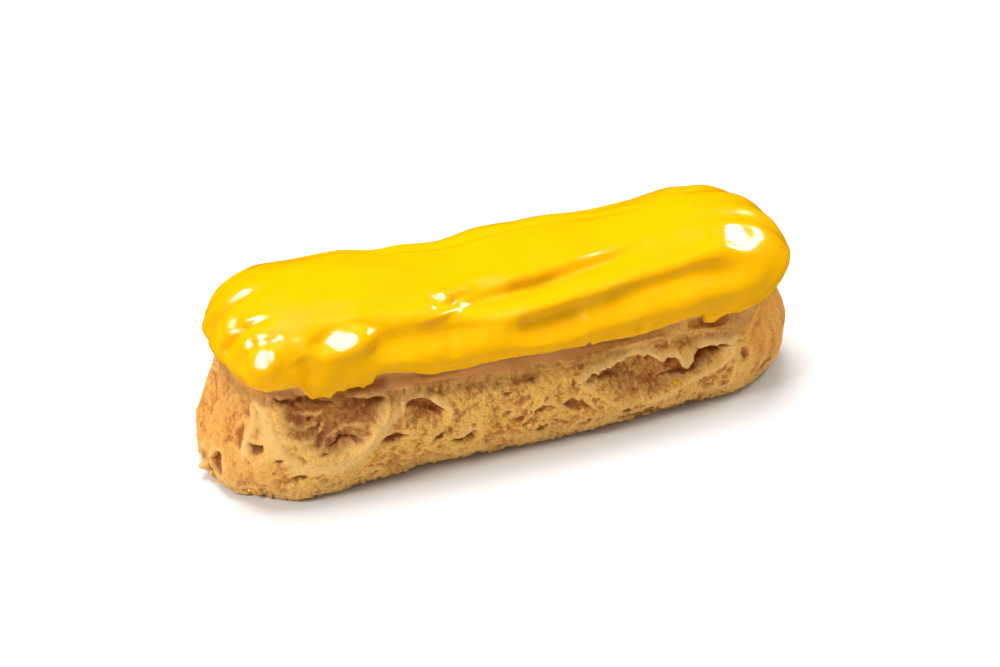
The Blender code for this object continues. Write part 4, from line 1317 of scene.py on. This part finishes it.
def makeCrustForm():
    columns = makeColumns(crust["frontSteps"], crust["endSteps"], crust["backSteps"])
    x, direction, rim = columns["x"], columns["direction"], columns["rim"]
    edgeHeight = roundRim(icing["edge"], rim)
    near = (np.abs(rimDistance(rim, centre)) < crust["tuckReach"] for centre in rim)
    tuck = np.array([edgeHeight[places].min() for places in near]) - crust["tuckDepth"]
    lip = np.minimum(roundRim(crust["lipHeight"], rim), tuck - crust["lipClearance"])
    belly = reachOf(columns, crust["front"], crust["back"], crust["ends"], crust["squareness"])
    outward = np.stack([np.cos(direction), np.sin(direction), np.zeros(len(x))], axis=-1)
    spine = np.stack([x, np.zeros(len(x)), np.zeros(len(x))], axis=-1)

    # the wall from the lip down to the floor
    level = np.linspace(1, 0, crust["wallRows"])[:, None]
    height = level * lip
    relief, shape = crustRelief(rim, height)
    wallAbove = aboveEdgeOf("strip", rim, height)
    # the brown fibres under the strip, painted partly as shade
    under = smoothStep(*crust["fibreFade"], aboveEdgeOf("fibre", rim, height))
    under = under * (1 - smoothStep(*crust["stripFade"], wallAbove))
    fibreHeight, *settings = crust["fibres"]
    relief = relief + fibreHeight * under * lumps(rim, height, *settings)
    out = belly - wallInset(rim, level) + relief
    wall = spine + outward * out[..., None]
    wall[..., 2] = height - shape["drawn"] * smoothStep(0, 2, height)

    # the smooth band from under the icing's edge out to the lip
    underCoat = dome["thickness"] + dome["gap"]
    tucked = domePoints(columns, polarAtHeight(columns, tuck), underCoat)
    share = np.linspace(0, 1, crust["bandRows"], endpoint=False)[:, None]
    eased = (share ** crust["bandEase"])[..., None]
    band = tucked * (1 - eased) + wall[0] * eased
    band[..., 2] = tucked[:, 2] * (1 - share) + wall[0][:, 2] * share
    streakHeight, *settings = crust["streaks"]
    streaks = streakHeight * np.sin(math.pi * share) * lumps(rim, band[..., 2], *settings)
    band += outward * streaks[..., None]
    bandAbove = aboveEdgeOf("strip", rim, band[..., 2])

    # the hidden top under the icing, and the flat base
    edge = polarAtHeight(columns, edgeHeight)
    top = np.array([domePoints(columns, polar, underCoat) for polar in innerPolars(edge)])
    rimOut = np.linalg.norm((wall[-1] - spine)[:, :2], axis=-1)
    shrinking = np.linspace(1, 0, crust["baseRows"] + 2)[1:]
    base = np.array([spine + outward * (rimOut * inner)[:, None] for inner in shrinking])
    rows = np.concatenate([top, band, wall, base])

    def column(overTop, overBand, overWall, overBase=0.0):
        parts = ((overTop, top), (overBand, band), (overWall, wall), (overBase, base))
        return np.concatenate([np.broadcast_to(value, part.shape[:2]) for value, part in parts])

    strength, stripShade, gapShade, lowShade = (
        roundRim(crust[key], rim)
        for key in ("stripStrength", "stripShade", "gapShade", "lowShade")
    )
    onBand = smoothStep(*crust["bandFade"], bandAbove)
    onWall = smoothStep(*crust["stripFade"], wallAbove)

    def shadeAt(heights, stripe):
        gap = gapShade * smoothStep(*crust["gapHeight"], heights - edgeHeight)
        return np.maximum(stripShade * stripe, gap)

    bandLow, bandHigh = crust["openBand"]
    wallLow, wallHigh, opening = crust["openWall"]
    opened = smoothStep(0, opening, 1 - level)
    toastAt, toastReach = crust["toast"]
    fromToast = np.abs(rimDistance(rim, toastAt)) / toastReach
    values = {
        "open": column(
            0.0, bandLow + (bandHigh - bandLow) * share, wallLow + (wallHigh - wallLow) * opened
        ),
        "hollow": column(0.0, 0.0, shape["hollow"]),
        "fold": column(0.0, 0.0, shape["fold"]),
        "glaze": column(0.0, shape["glaze"][0], shape["glaze"]),
        "band": column(1.0, strength * onBand, strength * onWall),
        "under": column(0.0, 1 - onBand, under),
        "shaded": column(
            0.0, shadeAt(band[..., 2], onBand),
            shadeAt(height, smoothStep(*crust["shadeFade"], wallAbove)),
        ),
        # painted shade: places lying below their surroundings are darkened
        "depth": column(0.0, 0.0, depthBelow(relief) * lowShade),
        "foot": 1 - smoothStep(*crust["footFade"], rows[..., 2]),
        "toasted": np.broadcast_to(1 - smoothStep(*crust["toastFade"], fromToast), rows.shape[:2]),
    }
    return makeSkin("chouxCrust", columns, rows, values)


# lumps, baked grain, crumb along the foot and pits, over the crust that stands open
def makeCrustTree(inputs):
    tree, given, result = makeNodeTree("crustSurface", inputs)
    place = output(tree, "GeometryNodeInputPosition")
    openness = readAttribute(tree, "open")
    lump, grain, crumb = (
        roughen(tree, given, place, name, *settings)
        for name, (height, size, *settings) in crust["noises"].items()
    )
    fade = maths(tree, "POWER", readAttribute(tree, "foot"), crust["crumbPower"])
    crumb = times(tree, crumb, fade)
    calm = times(tree, *(
        without(tree, readAttribute(tree, label), share) for label, share in crust["calm"]
    ))
    pitScale = maths(tree, "DIVIDE", 1.0, given["Pit Size"])
    pit = spread(tree, noise(tree, place, pitScale, *crust["pits"][2:]), *crust["pitRange"])
    pit = times(tree, pit, openness, calm)
    height = times(tree, plus(tree, lump, grain, crumb), calm)
    height = maths(tree, "SUBTRACT", height, times(tree, pit, given["Pit Depth"]))
    height = times(tree, height, openness)
    geometry = storeAttribute(tree, given["Geometry"], "pit", pit)
    geometry = storeAttribute(tree, geometry, "relief", times(tree, height, 1 / mm))

    # nothing is pushed below the floor
    target = vectorMaths(tree, "ADD", place, alongNormal(tree, height))
    axes = addNode(tree, "ShaderNodeSeparateXYZ", {"Vector": target}).outputs
    values = {"X": axes["X"], "Y": axes["Y"], "Z": maths(tree, "MAXIMUM", axes["Z"], 0.0)}
    aboveFloor = output(tree, "ShaderNodeCombineXYZ", values)
    values = {"Geometry": geometry, "Position": aboveFloor}
    endTree(tree, output(tree, "GeometryNodeSetPosition", values), crustMaterial, result)
    return tree


pitDepth, pitSize, *_ = crust["pits"]
crustInputs = noiseInputs(crust["noises"])
crustInputs.update({"Pit Depth": pitDepth * mm, "Pit Size": pitSize * mm})
chouxCrust = makeCrustForm()
applyTree(chouxCrust, makeCrustTree(crustInputs), crustInputs)
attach(chouxCrust, "root")
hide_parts("choux_bun")
print("eclair: crust made,", len(chouxCrust.data.polygons), "faces")

# fine crumbs that stand on the open crust, and splashes of icing that fell on it
crumbs = {
    "perSquareMetre": 420000.0,
    "smallest": 0.10,
    "largest": 0.30,
    "flatness": 0.6,
    "stretch": (0.7, 1.7),
    # how far each is turned, in radians
    "spin": (0.0, 6.28),
    "subdivisions": 1,
    "seed": 11,
    # how open the crust is where they begin, how bare the other places are, the height where
    # they are all there, and their share up the wall and what the foot adds to it
    "openRange": (0.75, 0.95),
    "bare": {"band": 1.0, "glaze": 0.9, "fold": 0.8, "hollow": 0.6},
    "fullHeight": 1.2,
    "share": 0.6,
    "footShare": 0.8,
}
specks = {
    # rim position, height and radius
    "places": (
        (33.4, 8.6, 0.55), (34.1, 8.3, 0.35), (-36.6, 8.8, 0.42), (-60.6, 1.6, 0.5),
        (-61.6, 2.0, 0.3), (97.0, 12.0, 0.5), (131.5, 7.0, 0.55), (-118.0, 17.6, 0.45),
        (-96.0, 5.2, 0.4),
    ),
    "subdivisions": 2,
    "onWall": 0.9,
    "roughness": 0.5,
    # scale, detail and roughness of their unevenness
    "noise": (1400.0, 2.0, 0.5),
    "seed": 4,
}


# a ball of radius 1 at each point
def placeBalls(tree, points, subdivisions, **values):
    ball = {"Radius": 1.0, "Subdivisions": subdivisions}
    instance = output(tree, "GeometryNodeMeshIcoSphere", ball, "Mesh")
    values = {"Points": points, "Instance": instance, **values}
    return output(tree, "GeometryNodeInstanceOnPoints", values)


def makeCrumbTree(inputs):
    tree, given, result = makeNodeTree("crumbScatter", inputs)

    def clearOf(label):
        return without(tree, readAttribute(tree, label), crumbs["bare"][label])

    place = output(tree, "GeometryNodeInputPosition")
    height = output(tree, "ShaderNodeSeparateXYZ", {"Vector": place}, "Z")
    where = times(
        tree, spread(tree, readAttribute(tree, "open"), *crumbs["openRange"]),
        clearOf("band"), clearOf("glaze"), times(tree, clearOf("fold"), clearOf("hollow")),
        spread(tree, height, given["Largest"], crumbs["fullHeight"] * mm),
    )
    atFoot = times(tree, readAttribute(tree, "foot"), crumbs["footShare"])
    density = times(tree, where, plus(tree, crumbs["share"], atFoot), given["Density"])
    values = {"Mesh": given["Geometry"], "Density": density, "Seed": given["Seed"]}
    points = addNode(tree, "GeometryNodeDistributePointsOnFaces", values).outputs

    def randomFloat(low, high, offset):
        values = {2: low, 3: high, "Seed": plus(tree, given["Seed"], offset)}
        return output(tree, "FunctionNodeRandomValue", values, 1, data_type="FLOAT")

    size = randomFloat(given["Smallest"], given["Largest"], 1)
    long = times(tree, size, randomFloat(*crumbs["stretch"], 2))
    flat = times(tree, size, given["Flatness"])
    spin = output(tree, "ShaderNodeCombineXYZ", {"Z": randomFloat(*crumbs["spin"], 3)})
    turn = {0: points["Rotation"], 1: spin}
    balls = placeBalls(
        tree, points["Points"], crumbs["subdivisions"],
        Rotation=output(tree, "FunctionNodeRotateRotation", turn, rotation_space="LOCAL"),
        Scale=output(tree, "ShaderNodeCombineXYZ", {"X": long, "Y": size, "Z": flat}),
    )
    endTree(tree, balls, crustMaterial, result)
    return tree


# each point of the given mesh becomes a small uneven splash
def makeSpeckTree(inputs):
    tree, given, result = makeNodeTree("speckSplashes", inputs)
    size = readAttribute(tree, "size")
    balls = placeBalls(tree, given["Geometry"], specks["subdivisions"], Scale=size)
    real = output(tree, "GeometryNodeRealizeInstances", {"Geometry": balls})
    place = output(tree, "GeometryNodeInputPosition")
    shifted = vectorMaths(tree, "ADD", place, given["Seed"])
    height = maths(tree, "SUBTRACT", noise(tree, shifted, *specks["noise"]), 0.5)
    height = times(tree, height, given["Roughness"], 2 * mm)
    values = {"Geometry": real, "Offset": alongNormal(tree, height)}
    endTree(tree, output(tree, "GeometryNodeSetPosition", values), icingMaterial, result)
    return tree


# the crust's vertex nearest to each place, from its own rim and height
def placesOnCrust():
    columns = makeColumns(crust["frontSteps"], crust["endSteps"], crust["backSteps"])
    coordinates = np.empty(len(chouxCrust.data.vertices) * 3)
    chouxCrust.data.vertices.foreach_get("co", coordinates)
    coordinates = coordinates.reshape(-1, 3) / mm
    openness = np.empty(len(coordinates))
    chouxCrust.data.attributes["open"].data.foreach_get("value", openness)
    wall = coordinates[openness > specks["onWall"]]
    found = []
    for rim, height, radius in specks["places"]:
        column = int(np.argmin(np.abs(rimDistance(columns["rim"], rim))))
        x, direction = columns["x"][column], columns["direction"][column]
        offset = wall - (x, 0, height)
        outward = offset[:, 0] * math.cos(direction) + offset[:, 1] * math.sin(direction)
        aside = offset[:, 1] * math.cos(direction) - offset[:, 0] * math.sin(direction)
        away = np.where(outward > 0, np.hypot(aside, offset[:, 2]), np.inf)
        found.append((wall[int(np.argmin(away))] * mm).tolist())
    return found


crumbInputs = {
    "Density": crumbs["perSquareMetre"],
    "Smallest": crumbs["smallest"] * mm,
    "Largest": crumbs["largest"] * mm,
    "Flatness": crumbs["flatness"],
    "Seed": crumbs["seed"],
}
crustCrumbs = addObject("crustCrumbs", chouxCrust.data.copy())
applyTree(crustCrumbs, makeCrumbTree(crumbInputs), crumbInputs)
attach(crustCrumbs, "root")
print("eclair: crumbs made,", len(crustCrumbs.data.polygons), "faces")

speckMesh = bpy.data.meshes.new("icingSpecks")
speckMesh.from_pydata(placesOnCrust(), [], [])
sizeOf = speckMesh.attributes.new("size", "FLOAT", "POINT")
sizeOf.data.foreach_set("value", [radius * mm for rim, height, radius in specks["places"]])
speckInputs = {"Roughness": specks["roughness"], "Seed": specks["seed"]}
icingSpecks = addObject("icingSpecks", speckMesh)
applyTree(icingSpecks, makeSpeckTree(speckInputs), speckInputs)
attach(icingSpecks, "root")
print("eclair: specks made,", len(icingSpecks.data.polygons), "faces")

# floor, light and camera
stage = {
    "floorSize": 6.0,
    "floorDrop": 0.0002,
    "floorShader": {
        "Base Color": (0.80, 0.80, 0.80, 1), "Roughness": 0.9, "Specular IOR Level": 0.1,
    },
    "sky": 0.25,
    # name, place, size, watts, and whether it lights the scene or only shows as a reflection
    "lights": (
        ("overhead", (-0.04, 0.42, 1.42), 0.85, 21.5, True),
        ("left", (-1.00, -0.20, 0.95), 0.50, 10.5, True),
        ("right", (0.95, 0.05, 0.95), 0.50, 6.0, True),
        ("leftSheen", (-0.66, -0.22, 1.18), 0.80, 38.0, False),
        ("rightSheen", (0.90, 0.30, 0.90), 0.30, 5.6, False),
    ),
}
# angles in degrees, lens and sensor in millimetres, and the rest in metres
view = {
    "azimuth": -21.0, "elevation": 33.0, "distance": 0.437, "aim": (0, 0, 0.017),
    "lens": 72.0, "sensor": 36.0, "clipStart": 0.01,
}


def makeFloor():
    half = stage["floorSize"] / 2
    low = -stage["floorDrop"]
    mesh = bpy.data.meshes.new("floor")
    corners = [(-half, -half, low), (half, -half, low), (half, half, low), (-half, half, low)]
    mesh.from_pydata(corners, [], [(0, 1, 2, 3)])
    mesh.materials.append(newMaterial("paleFloor", stage["floorShader"])[0])
    floor = addObject("floor", mesh)
    floor.visible_glossy = False


def makeLights():
    world = bpy.data.worlds.new("studio")
    bpy.context.scene.world = world
    world.use_nodes = True
    background = world.node_tree.nodes["Background"]
    background.inputs["Color"].default_value = (1, 1, 1, 1)
    background.inputs["Strength"].default_value = stage["sky"]
    world.cycles_visibility.glossy = False
    for name, place, size, watts, lightsUp in stage["lights"]:
        light = bpy.data.lights.new(name, "AREA")
        light.shape = "DISK"
        light.size = size
        light.energy = watts
        lamp = addObject(name, light)
        lamp.location = place
        lamp.rotation_euler = Vector(place).to_track_quat("Z", "Y").to_euler()
        lamp.visible_glossy = not lightsUp
        lamp.visible_diffuse = lightsUp


def makeCamera():
    azimuth = math.radians(view["azimuth"])
    elevation = math.radians(view["elevation"])
    away = Vector((
        math.sin(azimuth) * math.cos(elevation),
        -math.cos(azimuth) * math.cos(elevation),
        math.sin(elevation),
    ))
    lens = bpy.data.cameras.new("camera")
    lens.lens = view["lens"]
    lens.sensor_width = view["sensor"]
    lens.clip_start = view["clipStart"]
    camera = addObject("camera", lens)
    camera.location = Vector(view["aim"]) + away * view["distance"]
    camera.rotation_euler = away.to_track_quat("Z", "Y").to_euler()
    bpy.context.scene.camera = camera


makeFloor()
makeLights()
makeCamera()
bpy.context.scene.view_settings.view_transform = "Standard"
print("eclair: floor, light and camera made")
